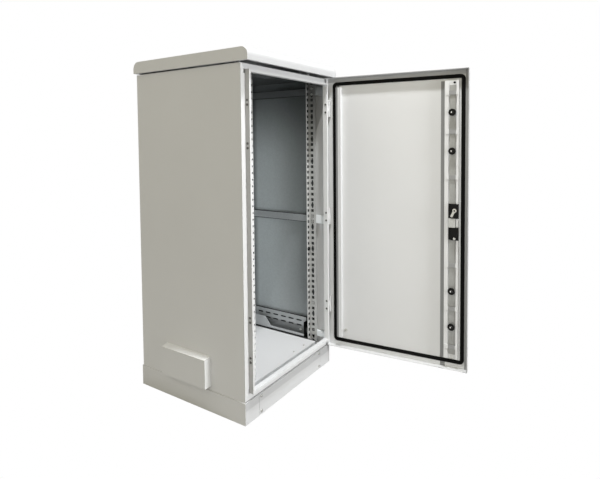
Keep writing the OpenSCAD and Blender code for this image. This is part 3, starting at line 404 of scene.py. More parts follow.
def powder_coat(name, rgb, looks, sizes, outward=None, part=None, factor=1.0):
    """Satin powder coat with orange peel.

    The part that a mask picks has its own tone, which is painted shade where it is darker and painted light where
    it is lighter, and the side away from outward is bare zinc with painted shade.
    """
    finish = Finish(name)
    cloud = finish.noise(scale=4, detail=3)
    peel = finish.noise(scale=650, detail=1)
    base = finish.mix(tone(rgb, PAINT_TONES[0]), tone(rgb, PAINT_TONES[1]), cloud)
    rough = looks.gloss + (peel - 0.5) * PEEL_ROUGH
    if part:
        base = finish.mix(base, tone(rgb, factor), part(finish))
    if outward:
        bare = finish.faces([-a for a in outward])
        lining = zinc_tone(finish, looks.zinc_lining)
        dark = tone(looks.zinc_lining, DEEP_SHADE)
        # The bare zinc gets painted shade: on the side walls by place and height, and on the ceiling all over
        if outward[0]:
            bare = bare * (finish.along("Y") > PAINT_TO_Y)
            lining = finish.mix(dark, lining, wall_light(finish) * dusk(finish))
        elif outward[2]:
            lining = finish.mix(dark, lining, CEILING_SHARE)
        base = finish.mix(base, lining, bare)
        rough = rough - bare * BARE_SMOOTHER
        finish.surface(Metallic=bare * BARE_METAL)
    return finish.surface(
        Base_Color=base, Roughness=rough, Normal=finish.bump(peel, sizes.peel), Coat_Weight=CLEAR_FILM
    )


def dusk(finish):
    """Share of the zinc's brightness by height: painted shade darkens the head of the inside."""
    return 1.0 - finish.fade(finish.along("Z"), *DUSK_Z) * DUSK_LOSS


def wall_light(finish):
    """Share of the zinc's brightness on a side wall: painted shade at both ends, and deep painted shade behind
    post and runner.
    """
    y = finish.along("Y")
    z = finish.along("Z")
    front = (1.0 - FRONT_WALL_LOSS) + finish.fade(y, POST_BACK_Y, OPEN_WALL_Y) * FRONT_WALL_LOSS
    rear = 1.0 - finish.fade(y, *REAR_WALL_Y) * REAR_WALL_LOSS
    post = 1.0 - (y < POST_BACK_Y) * BEHIND_POST_LOSS
    runner = 1.0 - (z < RUNNER_TOP_Z) * BEHIND_RUNNER_LOSS
    return front * rear * post * runner


def zinc_tone(finish, rgb):
    """Spangled zinc: flakes of slightly different grey, with soft streaks down the sheet."""
    flake = finish.add(
        "ShaderNodeSeparateColor", inputs={"Color": finish.cells(scale=140, output="Color")}, output="Red"
    )
    streak = finish.noise(scale=30, detail=3, stretch=(1, 1, 0.12))
    lightness = flake * FLAKE_SHARE + streak * (1.0 - FLAKE_SHARE)
    return finish.mix(tone(rgb, SPANGLE_TONES[0]), tone(rgb, SPANGLE_TONES[1]), lightness)


def rail_shade_and_light(finish, base, rgb, metallic):
    """A folded rail gets painted shade along its edges and up high, and painted light on its matte front end."""
    up = finish.within("Z")
    front = finish.along("Y") < PAINT_TO_Y
    edge = finish.most(up < RAIL_EDGE, up > 1.0 - RAIL_EDGE) * (1.0 - front)
    base = finish.mix(base, tone(rgb, RAIL_EDGE_SHADE), edge)
    base = finish.mix(base, tone(rgb, RAIL_END_LIGHT), front)
    return finish.mix(tone(rgb, DEEP_SHADE), base, dusk(finish)), (1.0 - front) * metallic


def painted_hole_shade(finish, base, rgb, metallic):
    """Painted shade round the holes of a post, which makes them look larger, and at the post's head."""
    x = finish.size_of(finish.along("X"))
    y = finish.size_of(finish.along("Y"))
    up = finish.along("Z") - HOLE_Z
    in_row = finish.math("PINGPONG", up, HOLE_PITCH / 2) < HOLE_SHADE_R
    in_web = (finish.size_of(y - WEB_HOLE_Y) < HOLE_SHADE_R) * (x > WEB_FROM_X)
    in_flange = (finish.size_of(x - FLANGE_HOLE_X) < HOLE_SHADE_R) * (y < FLANGE_TO_Y)
    base = finish.mix(tone(rgb, DEEP_SHADE), base, dusk(finish))
    rim = in_row * finish.most(in_web, in_flange)
    return finish.mix(base, tone(rgb, NEAR_BLACK), rim), metallic


def stud_ends(finish, base, rgb, metallic):
    """The studs of the rollers end in black caps, each with a small painted highlight."""
    inward = [-a for a in SPINS[0]["axis"]]
    tip = (points_of("upper_lock_rod") @ np.array(inward)).max()
    cap = finish.dot(finish.place(), inward) > tip - CAP_DEPTH
    y = finish.along("Y")
    z = finish.along("Z")
    base = finish.mix(base, tone(rgb, NEAR_BLACK), cap)
    for joint in SPINS:
        beside = finish.size_of(y - (joint["pos_m"][1] + HIGHLIGHT_AT_Y)) < HIGHLIGHT_R
        level = finish.size_of(z - joint["pos_m"][2]) < HIGHLIGHT_R
        base = finish.mix(base, HIGHLIGHT_RGB, cap * beside * level)
    return base, metallic


def galvanised(name, rgb, metallic, marks=None):
    """Dull galvanised steel with a fine spangle, and the painted shade and light that a marks function adds."""
    finish = Finish(name)
    grain = finish.noise(scale=900, detail=2)
    scuff = finish.noise(scale=45, detail=4, stretch=(1, 1, 0.3))
    base = zinc_tone(finish, rgb)
    if marks:
        base, metallic = marks(finish, base, rgb, metallic)
    return finish.surface(
        Base_Color=base,
        Metallic=metallic,
        Roughness=worn(GALVANISED_ROUGH, scuff),
        Normal=finish.bump(grain, distance=0.02 * MM),
    )


def plated(name, rgb, rough):
    """Bright plated metal with fine turning marks."""
    finish = Finish(name)
    marks = finish.noise(scale=2500, detail=2)
    smear = finish.noise(scale=180, detail=3)
    return finish.surface(
        Base_Color=finish.mix(tone(rgb, SMEAR_TONE), rgb, smear),
        Metallic=1.0,
        Roughness=worn((rough, TURNED_ROUGH), marks),
        Normal=finish.bump(marks, distance=0.01 * MM),
    )


def satin_coat(name, rgb, lip_rgb):
    """Satin coat of the runners, rubbed lighter in patches, with painted shade on its foot and a bright lip."""
    finish = Finish(name)
    rub = finish.noise(scale=70, detail=5)
    grain = finish.noise(scale=800, detail=1)
    from_middle = finish.size_of(finish.along("X"))
    web = finish.mix(rgb, tone(rgb, RUB_TONE), rub ** 3.0)
    # Painted shade on the lower half of the web
    high = finish.fade(finish.along("Z"), *RUNNER_SHADE_Z)
    web = finish.mix(tone(rgb, RUNNER_SHADE), web, high)
    return finish.surface(
        Base_Color=finish.mix(web, lip_rgb, from_middle < RUNNER_LIP_X),
        Metallic=0.35,
        Roughness=worn(RUNNER_ROUGH, rub),
        Normal=finish.bump(grain, distance=0.02 * MM),
    )


def rubber(name, rgb):
    """Black rubber with a dusty bloom."""
    finish = Finish(name)
    bloom = finish.noise(scale=120, detail=5)
    skin = finish.noise(scale=1400, detail=2)
    return finish.surface(
        Base_Color=finish.mix(rgb, tone(rgb, BLOOM_TONE), bloom ** 2.0),
        Roughness=worn(RUBBER_ROUGH, bloom),
        Normal=finish.bump(skin, distance=0.03 * MM),
        Specular_IOR_Level=0.08,
    )


def moulded(name, rgb):
    """Black moulded plastic with a fine grain."""
    finish = Finish(name)
    grain = finish.cells(scale=1100, output="Distance")
    wear = finish.noise(scale=90, detail=4)
    return finish.surface(
        Base_Color=finish.mix(rgb, tone(rgb, WEAR_TONE), wear ** 2.0),
        Roughness=worn(PLASTIC_ROUGH, wear),
        Normal=finish.bump(grain, distance=0.04 * MM),
        Specular_IOR_Level=0.15,
    )


def fibre_mat(name, rgb):
    """Loose fibres of a filter mat."""
    finish = Finish(name)
    tangle = finish.noise(scale=420, detail=8)
    pores = finish.cells(scale=350, output="Distance")
    relief = tangle + pores * PORE_DEPTH
    return finish.surface(
        Base_Color=finish.mix(tone(rgb, FIBRE_TONES[0]), tone(rgb, FIBRE_TONES[1]), tangle),
        Roughness=0.95,
        Normal=finish.bump(relief, distance=1.2 * MM),
    )


def dress(obj, material):
    """Gives an object one material all over."""
    obj.data.materials.clear()
    obj.data.materials.append(material)


def in_slot(slot):
    """The CAD nodes that the record gives to a material slot."""
    return [NODES[n] for n in sorted(SLOT_OF) if SLOT_OF[n] == slot]


def soften(obj, radius):
    """Rounds an object's sharp edges."""
    bevel = obj.modifiers.new("soft edges", "BEVEL")
    bevel.width = radius
    bevel.segments = BEVEL_STEPS
    bevel.limit_method = "ANGLE"
    bevel.angle_limit = BEVEL_ANGLE


def new_piece(name, mesh, body, material, replaced=()):
    """Puts a finished mesh in the scene, on the body of the nodes that it stands for."""
    mesh.update()
    mesh.shade_smooth()
    mesh.set_sharp_from_angle(angle=SHARP_ANGLE)
    obj = bpy.data.objects.new(name, mesh)
    bpy.context.scene.collection.objects.link(obj)
    dress(obj, material)
    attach(obj, body)
    if replaced:
        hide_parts(*replaced)
    return obj


def mesh_from(bm, name):
    """Turns a finished bmesh into a mesh, with its faces looking outwards."""
    bmesh.ops.recalc_face_normals(bm, faces=bm.faces)
    mesh = bpy.data.meshes.new(name)
    bm.to_mesh(mesh)
    bm.free()
    return mesh


def points_of(node):
    """A CAD node's vertices as an array, in the row frame."""
    return np.array([v.co for v in NODES[node].data.vertices], float).reshape(-1, 3)


def solids_of(node):
    """The vertices of each separate solid of a CAD node."""
    points = points_of(node)
    places = np.round(points / SAME_POINT).astype(np.int64)
    spots, index = np.unique(places, axis=0, return_inverse=True)
    index = index.ravel()
    parent = list(range(len(spots)))

    def root(i):
        while parent[i] != i:
            parent[i] = parent[parent[i]]
            i = parent[i]
        return i

    for edge in NODES[node].data.edges:
        a, b = (root(index[v]) for v in edge.vertices)
        parent[a] = b
    roots = np.array([root(i) for i in index])
    return [points[roots == r] for r in np.unique(roots)]


class Fastener:
    """One screw, bolt or rivet: where its head is, which way it faces and its radii."""

    TIP_SHARE = 0.05
    HEAD_WIDER = 1.1

    def __init__(self, points, outward):
        out = np.array(outward, float)
        middle = (points.min(0) + points.max(0)) / 2
        along = (points - middle) @ out
        across = np.linalg.norm((points - middle) - np.outer(along, out), axis=1)
        near_tip = along < along.min() + self.TIP_SHARE * np.ptp(along)
        self.shank_r = across[near_tip].max()
        self.head_r = across.max()
        self.under = along[across > self.HEAD_WIDER * self.shank_r].min()
        self.top = along.max()
        self.tip = along.min()
        turn = Vector(outward).to_track_quat("Z", "Y").to_matrix().to_4x4()
        self.place = Matrix.Translation(Vector(middle)) @ turn


def turned(bm, place, angles, rings):
    """Skins a stack of rings, each a height and a radius, which is a number or a function of the angle."""
    loops = []
    for height, radius in rings:
        loop = []
        for a in angles:
            r = radius(a) if callable(radius) else radius
            loop.append(bm.verts.new(place @ Vector((r * math.cos(a), r * math.sin(a), height))))
        loops.append(loop)
    for low, high in zip(loops, loops[1:]):
        for i in range(len(angles)):
            j = (i + 1) % len(angles)
            bm.faces.new((low[i], low[j], high[j], high[i]))
    bm.faces.new(list(reversed(loops[0])))
    bm.faces.new(loops[-1])


def cross_shape(half_w, half_l):
    """Radius of a cross with square arms, by angle."""

    def radius(a):
        c = abs(math.cos(a))
        s = abs(math.sin(a))
        return min(half_l / max(c, s), half_w / max(min(c, s), 1e-6))

    return radius


def hexagon(corner_r):
    """Radius of a hexagon, by angle."""
    side = math.radians(60)
    return lambda a: corner_r * math.cos(side / 2) / math.cos(a % side - side / 2)


# Depth of a thread as a share of its pitch
THREAD_DEPTH = 0.3


def thread_rings(f, pitch):
    """Rings of a threaded shank from its tip up to the head."""
    depth = THREAD_DEPTH * pitch
    rings = [(f.tip, f.shank_r - 2 * depth), (f.tip + depth, f.shank_r - depth)]
    z = f.tip + pitch
    while z < f.under - pitch:
        rings += [(z, f.shank_r), (z + pitch / 2, f.shank_r - depth)]
        z += pitch
    return rings + [(f.under, f.shank_r)]


# Profiles: heights as shares of the head's, each with a share of the head's or the stem's radius
PAN_HEAD = ((0, 0.97), (0.35, 1), (0.70, 0.93), (0.92, 0.74), (1, 0.52))
RIVET_HEAD = ((0, 1), (0.3, 1), (0.75, 0.78), (1, 0.42))
RIVET_STEM = ((1, 1.2), (0.5, 1), (0.8, 0.8))
RIVET_STEM_R = 0.24
RIVET_TIP_R = 0.9

# The cross recess: arms, depth and taper as shares of the head
CROSS_ARM = 0.40
CROSS_WIDTH = 0.15
CROSS_DEPTH = 0.55
CROSS_TAPER = 0.72
CROSS_TIP_DEPTH = 0.62
CROSS_TIP_R = 0.08
CROSS_TURN = math.atan2(CROSS_WIDTH, CROSS_ARM)
CROSS_ANGLES = [
    quarter + a
    for quarter in (0, math.pi / 2, math.pi, 1.5 * math.pi)
    for a in (0, CROSS_TURN, math.pi / 4, math.pi / 2 - CROSS_TURN)
]

# Hexagon head: shares of its height, and the washer face's radius as a share of the corners'
HEX_WASHER = 0.1
HEX_CHAMFER = 0.16
HEX_DISH = 0.06
HEX_FLAT_R = 0.85

# Radii on top of the hexagon head, as shares of the washer face's
HEX_TOP_R = 0.93
HEX_DISH_R = 0.8

ROUND_ANGLES = [math.radians(15 * i) for i in range(24)]


def head_rings(f, profile, radius):
    """Rings of a head's profile, over the plane that the head sits on."""
    return [(f.under + up * (f.top - f.under), out * radius) for up, out in profile]


def pan_screw(bm, f, pitch):
    """Pan-head screw with a cross recess."""
    head = f.top - f.under
    rim = cross_shape(CROSS_WIDTH * f.head_r, CROSS_ARM * f.head_r)
    rings = thread_rings(f, pitch) + head_rings(f, PAN_HEAD, f.head_r)
    rings += [(f.top, rim), (f.top - CROSS_DEPTH * head, lambda a: CROSS_TAPER * rim(a))]
    rings += [(f.top - CROSS_TIP_DEPTH * head, CROSS_TIP_R * f.head_r)]
    turned(bm, f.place, CROSS_ANGLES, rings)


def hex_bolt(bm, f, pitch):
    """Hexagon bolt with a washer face and a chamfered head."""
    head = f.top - f.under
    shape = hexagon(f.head_r)
    flat = HEX_FLAT_R * f.head_r
    washer = f.under + HEX_WASHER * head
    rings = thread_rings(f, pitch)
    rings += [(f.under, flat), (washer, flat), (washer, shape), (f.top - HEX_CHAMFER * head, shape)]
    rings += [(f.top, HEX_TOP_R * flat), (f.top - HEX_DISH * head, HEX_DISH_R * flat)]
    turned(bm, f.place, ROUND_ANGLES, rings)


def dome_rivet(bm, f, pitch):
    """Blind rivet with a domed head and the broken stem in its middle. It has no thread."""
    rings = [(f.tip, RIVET_TIP_R * f.shank_r), (f.under, f.shank_r)]
    rings += head_rings(f, RIVET_HEAD, f.head_r)
    rings += head_rings(f, RIVET_STEM, RIVET_STEM_R * f.head_r)
    turned(bm, f.place, ROUND_ANGLES, rings)


# Which way the heads of each group face, from the middle of the solid, and what they are made as
LEFT_WALL_X = -280 * MM
FASTENERS = {
    "plinth_cover_screws": (pan_screw, lambda at: FORWARD),
    "panel_screws": (pan_screw, lambda at: RIGHTWARD if at[0] < LEFT_WALL_X else UPWARD),
    "frame_screws": (pan_screw, lambda at: LEFTWARD),
    "rail_bolts": (hex_bolt, lambda at: LEFTWARD if at[0] > 0 else RIGHTWARD),
    "roof_bolts": (hex_bolt, lambda at: DOWNWARD),
    "rear_panel_rivets": (dome_rivet, lambda at: BACKWARD),
}


def door_swing():
    """Matrix from the closed door to the door as it stands."""
    pivot = Vector(HINGE["pos_m"])
    turn = Matrix.Rotation(-math.radians(HINGE["range_deg"][0]), 4, Vector(HINGE["axis"]))
    return Matrix.Translation(pivot) @ turn @ Matrix.Translation(-pivot)


def closed_box(node):
    """Lowest and highest corner of a node of the door, with the door closed."""
    back = np.array(door_swing().inverted(), float)
    points = points_of(node) @ back[:3, :3].T + back[:3, 3]
    return Vector(points.min(0)), Vector(points.max(0))


class CABINET_OT_painted_sheets(bpy.types.Operator):
    """Paints the sheet metal with painted shade and light on parts of it, leaves the inner sides of the body in
    zinc and rounds the edges
    """

    bl_idname = "cabinet.painted_sheets"
    bl_label = "Painted sheets"

    # Masks and tones of the painted shade and light: a tone below 1 paints shade, a tone above 1 paints light
    FASCIA_BEND = (0.2, 0.9)
    FASCIA_SHADE = 0.8
    COWL_EDGES = (0, -0.7, 0.7)
    COWL_TURN = 0.3
    COWL_EDGE_LIGHT = 1.35
    LEFT_WALL_SHADE = 0.56
    SIDE_LIP = 0.87
    TOP_LIP = 0.58
    RIDGE_SHADE = 19 * MM
    SEAL_SHADE = 15 * MM
    DOOR_SHADE_TONE = 0.33
    TROUGH = (0.16, 0.71)
    TROUGH_SHADE = 0.4
    STRIP_SHADE_Z = (1014 * MM, 1032 * MM)
    STRIP_SLOPE = 2.4
    STRIP_SHADE_TONE = 0.55
    SILL_LIGHT = 1.1
    SILL_FOOT_Z = 84 * MM
    SILL_FOOT_SHADE = 0.4
    SILL_SHADE_Z = (46 * MM, 54 * MM)
    PLINTH_SHADE = 0.8
    FLOOR_LINE = 10 * MM
    FLOOR_SHADE_TONE = 0.02

    def execute(self, context):
        looks = context.scene.cabinet_finishes
        sizes = context.scene.cabinet_sizes
        paint = looks.paint
        plain = powder_coat("powder coat", paint, looks, sizes)
        # Each coat: name, colour, the mask of a part and that part's tone; the sill's colour and the frame paint
        # are lighter copies of the paint, which paint light on them
        coats = {
            "roof_canopy": ("roof coat", paint, self.shaded_fascia, self.FASCIA_SHADE),
            "door_pan": ("door coat", paint, self.door_shade, self.DOOR_SHADE_TONE),
            "floor_plate": ("floor coat", paint, self.shade_by_runner, self.FLOOR_SHADE_TONE),
            "rod_guides": ("guide coat", paint, self.shade_over_trough, self.TROUGH_SHADE),
            "hinge_stiffener": ("hinge side coat", paint, self.shade_by_seal, self.DOOR_SHADE_TONE),
            "frame_sill": ("sill coat", tone(paint, self.SILL_LIGHT), self.shaded_sill_foot, self.SILL_FOOT_SHADE),
            "plinth_frame": ("plinth coat", paint, self.shade_under_sill, self.PLINTH_SHADE),
            "plinth_front_cover": ("cover coat", paint, self.shade_under_sill, self.PLINTH_SHADE),
            "left_frame_member": ("left frame coat", looks.frame, self.shaded_left_wall, self.LEFT_WALL_SHADE),
            "right_frame_member": ("right frame coat", looks.frame, None, 1.0),
            "vent_cowl": ("cowl coat", paint, self.lit_edges, self.COWL_EDGE_LIGHT),
        }
        own = {}
        for node, (name, rgb, part, factor) in coats.items():
            own[node] = powder_coat(name, rgb, looks, sizes, None, part, factor)
        for node, outward in ZINC_LINED.items():
            part = self.strip_shade if node == "right_side_panel" else None
            own[node] = powder_coat("coat of " + node, paint, looks, sizes, outward, part, self.STRIP_SHADE_TONE)
        for obj in in_slot("paint"):
            dress(obj, own.get(obj.name, plain))
            soften(obj, sizes.edge)
        return {"FINISHED"}

    def shaded_fascia(self, finish):
        """The roof's front, darkened by painted shade that fades in softly round its bend."""
        return finish.fade(finish.facing(FORWARD), *self.FASCIA_BEND)

    def shaded_left_wall(self, finish):
        """Painted shade on the frame's outer wall, which looks to the left."""
        return finish.faces(LEFTWARD)

    def lit_edges(self, finish):
        """Painted light on the cowl's top and front, which makes them lighter than its face."""
        return finish.facing(self.COWL_EDGES) > self.COWL_TURN

    def door_shade(self, finish):
        """Painted shade on the inner side of the door's lips, beyond the seal, and on strips beside stiffener and
        seal.
        """
        low, high = closed_box("door_seal")
        ridge = closed_box("lock_stiffener")[1]
        edge = (door_swing() @ ridge).y
        y = finish.along("Y")
        z = finish.along("Z")
        side = (y < (door_swing() @ low).y) * self.SIDE_LIP
        top = (z > high.z) * self.TOP_LIP
        strip = (y > edge) * (y < edge + self.RIDGE_SHADE) * (z < ridge.z)
        return finish.most(side, top, strip, self.shade_by_seal(finish)) * finish.faces(LEFTWARD)

    def shade_by_seal(self, finish):
        """Painted shade on the strip along the inner edge of the seal, on the hinge side."""
        low, high = closed_box("door_seal")
        edge = (door_swing() @ (high - Vector((SEAL_W, 0, 0)))).y
        y = finish.along("Y")
        z = finish.along("Z")
        inside = (z > low.z + SEAL_W) * (z < high.z - SEAL_W)
        return (y < edge) * (y > edge - self.SEAL_SHADE) * inside

    def strip_shade(self, finish):
        """A painted shadow over the head of the strip of paint inside the right panel, above a slanted edge."""
        above = finish.along("Z") + (finish.along("Y") - PAINT_TO_Y) * self.STRIP_SLOPE
        return finish.fade(above, *self.STRIP_SHADE_Z) * finish.faces(LEFTWARD)

    def shaded_sill_foot(self, finish):
        """Painted shade along the lowest edge of the sill's front, by the plinth."""
        return (finish.along("Z") < self.SILL_FOOT_Z) * finish.faces(FORWARD)

    def shade_under_sill(self, finish):
        """Painted shade on the upper part of the plinth's front, under the sill."""
        return finish.fade(finish.along("Z"), *self.SILL_SHADE_Z) * finish.faces(FORWARD)

    def shade_by_runner(self, finish):
        """A line of painted shadow on the floor along each runner."""
        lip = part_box("right_runner")[0].x
        return finish.size_of(finish.along("X")) > lip - self.FLOOR_LINE

    def shade_over_trough(self, finish):
        """Painted shade on the stretch of a guide that crosses the rods."""
        across = finish.within("Y")
        return (across > self.TROUGH[0]) * (across < self.TROUGH[1])


class CABINET_OT_zinc_metalwork(bpy.types.Operator):
    """Gives posts, rails, rods and runners their galvanised or satin finish, with painted shade and light on some
    of them
    """

    bl_idname = "cabinet.zinc_metalwork"
    bl_label = "Posts, rails and rods"

    # The right posts get a darker copy of the post colour, which paints shade on them
    SHADED_POSTS = ("front_right_post", "rear_right_post")
    POST_SHADE_TONE = 0.70
    CASE_TONE = 1.5

    def execute(self, context):
        looks = context.scene.cabinet_finishes
        # A darker copy of the post colour, as painted shade
        dull = tone(looks.posts, self.POST_SHADE_TONE)
        zinc = galvanised("galvanised steel", looks.galvanised, metallic=0.5)
        by_kind = {
            "post": galvanised("post steel", looks.posts, metallic=0.2, marks=painted_hole_shade),
            "rail": galvanised("rail steel", looks.rails, metallic=0.4, marks=rail_shade_and_light),
            "rod": galvanised("rod steel", looks.rods, metallic=0.25, marks=stud_ends),
            "case": galvanised("lock case steel", tone(looks.rods, self.CASE_TONE), metallic=0.25),
        }
        shaded_post_steel = galvanised("dull post steel", dull, metallic=0.2, marks=painted_hole_shade)
        for obj in in_slot("galvanised"):
            dress(obj, by_kind.get(obj.name.split("_")[-1], zinc))
        for name in self.SHADED_POSTS:
            dress(NODES[name], shaded_post_steel)
        satin = satin_coat("runner coat", looks.runner, looks.galvanised)
        for obj in in_slot("runner_paint"):
            dress(obj, satin)
        return {"FINISHED"}


class CABINET_OT_lock_and_plastics(bpy.types.Operator):
    """Finishes the lock, the rollers, the handle and the other moulded pieces"""

    bl_idname = "cabinet.lock_and_plastics"
    bl_label = "Lock and plastics"

    def execute(self, context):
        looks = context.scene.cabinet_finishes
        sizes = context.scene.cabinet_sizes
        plastic = moulded("moulded plastic", looks.plastic)
        for obj in in_slot("black_plastic"):
            dress(obj, plastic)
            soften(obj, sizes.plastic_edge)
        for obj in in_slot("key_chrome"):
            dress(obj, plated("polished cylinder", looks.chrome, rough=0.08))
        return {"FINISHED"}


class CABINET_OT_fasteners(bpy.types.Operator):
    """Replaces the plain screws, bolts and rivets by ones with recesses, chamfers and threads"""

    bl_idname = "cabinet.fasteners"
    bl_label = "Screws, bolts and rivets"

    DARK_SCREW_TONE = 0.25

    def execute(self, context):
        looks = context.scene.cabinet_finishes
        sizes = context.scene.cabinet_sizes
        dark = tone(looks.screws, self.DARK_SCREW_TONE)
        zinc = plated("bright zinc", looks.screws, rough=0.24)
        own = {
            "frame_screws": plated("dark zinc", dark, rough=0.45),
            "rear_panel_rivets": powder_coat("painted rivet", looks.paint, looks, sizes),
        }
        for obj in in_slot("screws"):
            dress(obj, zinc)
        for node, (make, outward) in FASTENERS.items():
            bm = bmesh.new()
            for points in solids_of(node):
                make(bm, Fastener(points, outward(points.mean(0))), sizes.thread)
            mesh = mesh_from(bm, node)
            new_piece(node + "_detailed", mesh, BODY_OF[node], own.get(node, zinc), [node])
        return {"FINISHED"}


class CABINET_OT_door_seal(bpy.types.Operator):
    """Sweeps the rubber seal round the inside of the door"""

    bl_idname = "cabinet.door_seal"
    bl_label = "Door seal"

    CORNER_R = 18 * MM
    STEPS = 8
    PROFILE_STEPS = 12
    FOOT = 0.22
    BULGE = 0.7

    def execute(self, context):
        low, high = closed_box("door_seal")
        half = SEAL_W / 2
        turn_r = self.CORNER_R - half
        height = high.y - low.y
        swing = door_swing()
        corners = [(high.x, high.z, 0), (low.x, high.z, 90), (low.x, low.z, 180), (high.x, low.z, 270)]
        middle = (low + high) / 2
        bm = bmesh.new()
        rings = []
        for x, z, start in corners:
            cx = x + math.copysign(self.CORNER_R, middle.x - x)
            cz = z + math.copysign(self.CORNER_R, middle.z - z)
            for i in range(self.STEPS + 1):
                a = math.radians(start + 90 * i / self.STEPS)
                rings.append(self.section(bm, swing, cx, cz, low.y, turn_r, a, half, height))
        for near, far in zip(rings, rings[1:] + rings[:1]):
            for i in range(len(near)):
                j = (i + 1) % len(near)
                bm.faces.new((near[i], near[j], far[j], far[i]))
        seal = rubber("seal rubber", context.scene.cabinet_finishes.rubber)
        new_piece("door_seal_strip", mesh_from(bm, "door seal"), "door", seal, ["door_seal"])
        return {"FINISHED"}

    def section(self, bm, swing, cx, cz, base, turn_r, a, half, height):
        """One section of the strip: a flat foot with lips and a bulb that bows out of it."""
        loop = []
        for i in range(self.PROFILE_STEPS + 1):
            t = math.pi * i / self.PROFILE_STEPS
            across = -half * math.cos(t)
            up = height * (self.FOOT + (1 - self.FOOT) * math.sin(t) ** self.BULGE)
            loop.append((across, up))
        loop = [(-half, 0)] + loop + [(half, 0)]
        verts = []
        for across, up in loop:
            r = turn_r + across
            point = Vector((cx + r * math.cos(a), base + up, cz + r * math.sin(a)))
            verts.append(bm.verts.new(swing @ point))
        return verts


class CABINET_OT_lock_trim(bpy.types.Operator):
    """Adds the clip, rivet, boss and screw that show on the lock, inside the door"""

    bl_idname = "cabinet.lock_trim"
    bl_label = "Lock trim"

    CLIP = (-247 * MM, 725 * MM)
    CLIP_END = (-235 * MM, 700 * MM)
    CLIP_R = 8 * MM
    ARM_W = 9 * MM
    BORE_R = 3.2 * MM
    RIVET = (-247 * MM, 614 * MM)
    RIVET_R = 5 * MM
    BOSS = (-258 * MM, 616 * MM)
    BOSS_R = 4.6 * MM
    SCREW = (-244 * MM, 1226 * MM)
    SCREW_R = 4.5 * MM
    THICK = 1.6 * MM
    DOME = ((0, 1), (0.6, 1), (0.9, 0.85), (1, 0.5))

    def execute(self, context):
        looks = context.scene.cabinet_finishes
        face = closed_box("upper_lock_housing")[1].y
        ridge = closed_box("lock_stiffener")[1].y
        bright = bmesh.new()
        self.disc(bright, self.CLIP, face, self.CLIP_R, self.THICK)
        self.arm(bright, face)
        self.disc(bright, self.RIVET, face, self.RIVET_R, 2 * self.THICK)
        dark = bmesh.new()
        self.disc(dark, self.CLIP, face + self.THICK, self.BORE_R, self.THICK / 4)
        self.disc(dark, self.BOSS, face, self.BOSS_R, 2 * self.THICK)
        self.disc(dark, self.SCREW, ridge - self.THICK, self.SCREW_R, self.THICK)
        zinc = plated("clip zinc", looks.screws, rough=0.35)
        plastic = moulded("trim plastic", looks.plastic)
        new_piece("lock_clip", mesh_from(bright, "lock clip"), "door", zinc)
        new_piece("lock_bosses", mesh_from(dark, "lock bosses"), "door", plastic)
        return {"FINISHED"}

    def disc(self, bm, at, seat, radius, thick):
        """A disc with a domed face, seated on a flat face that looks into the cabinet."""
        turn = Vector(BACKWARD).to_track_quat("Z", "Y").to_matrix().to_4x4()
        place = door_swing() @ Matrix.Translation((at[0], seat, at[1])) @ turn
        rings = [(up * thick, out * radius) for up, out in self.DOME]
        turned(bm, place, ROUND_ANGLES, rings)

    def arm(self, bm, seat):
        """The flat arm that runs from the clip's eye down to the edge of the housing."""
        start = Vector((self.CLIP[0], 0, self.CLIP[1]))
        along = Vector((self.CLIP_END[0], 0, self.CLIP_END[1])) - start
        turn = along.to_track_quat("Z", "Y").to_matrix().to_4x4()
        middle = start + along / 2 + Vector((0, seat + self.THICK / 2, 0))
        size = Matrix.Diagonal((self.THICK, self.ARM_W, along.length, 1))
        bmesh.ops.create_cube(bm, size=1, matrix=door_swing() @ Matrix.Translation(middle) @ turn @ size)


class CABINET_OT_filter_mat(bpy.types.Operator):
    """Lays a fibre mat over the vent slots, inside the left panel"""

    bl_idname = "cabinet.filter_mat"
    bl_label = "Filter mat"

    CUTS = 28
    ROUND = 9
    EDGE_THIN = 0.4
    FUZZ = 0.5 * MM
    FUZZ_SCALE = 14
    WELD = 0.01 * MM

    def execute(self, context):
        low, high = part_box("vent_filter")
        middle = (low + high) / 2
        half = (high - low) / 2
        pull = context.scene.cabinet_sizes.mat_pull
        bm = bmesh.new()
        bmesh.ops.create_cube(bm, size=2)
        bmesh.ops.subdivide_edges(bm, edges=bm.edges, cuts=self.CUTS, use_grid_fill=True)
        for v in bm.verts:
            t, a, b = v.co
            thick = 1 - self.EDGE_THIN * max(abs(a), abs(b)) ** self.ROUND
            fuzz = noise.noise(v.co * self.FUZZ_SCALE) * self.FUZZ
            away = max(0, t) * thick
            v.co.x = low.x + (half.x * 2 - self.FUZZ + fuzz) * away
            v.co.y = middle.y + half.y * a * (1 - pull * (1 - b * b)) - a * self.FUZZ
            v.co.z = middle.z + half.z * b * (1 - pull * (1 - a * a)) - b * self.FUZZ
        bmesh.ops.remove_doubles(bm, verts=bm.verts, dist=self.WELD)
        mat = fibre_mat("fibre mat", context.scene.cabinet_finishes.mat)
        mesh = mesh_from(bm, "filter mat")
        pad = new_piece("filter_mat", mesh, "cabinet", mat, ["vent_filter"])
        return {"FINISHED"}


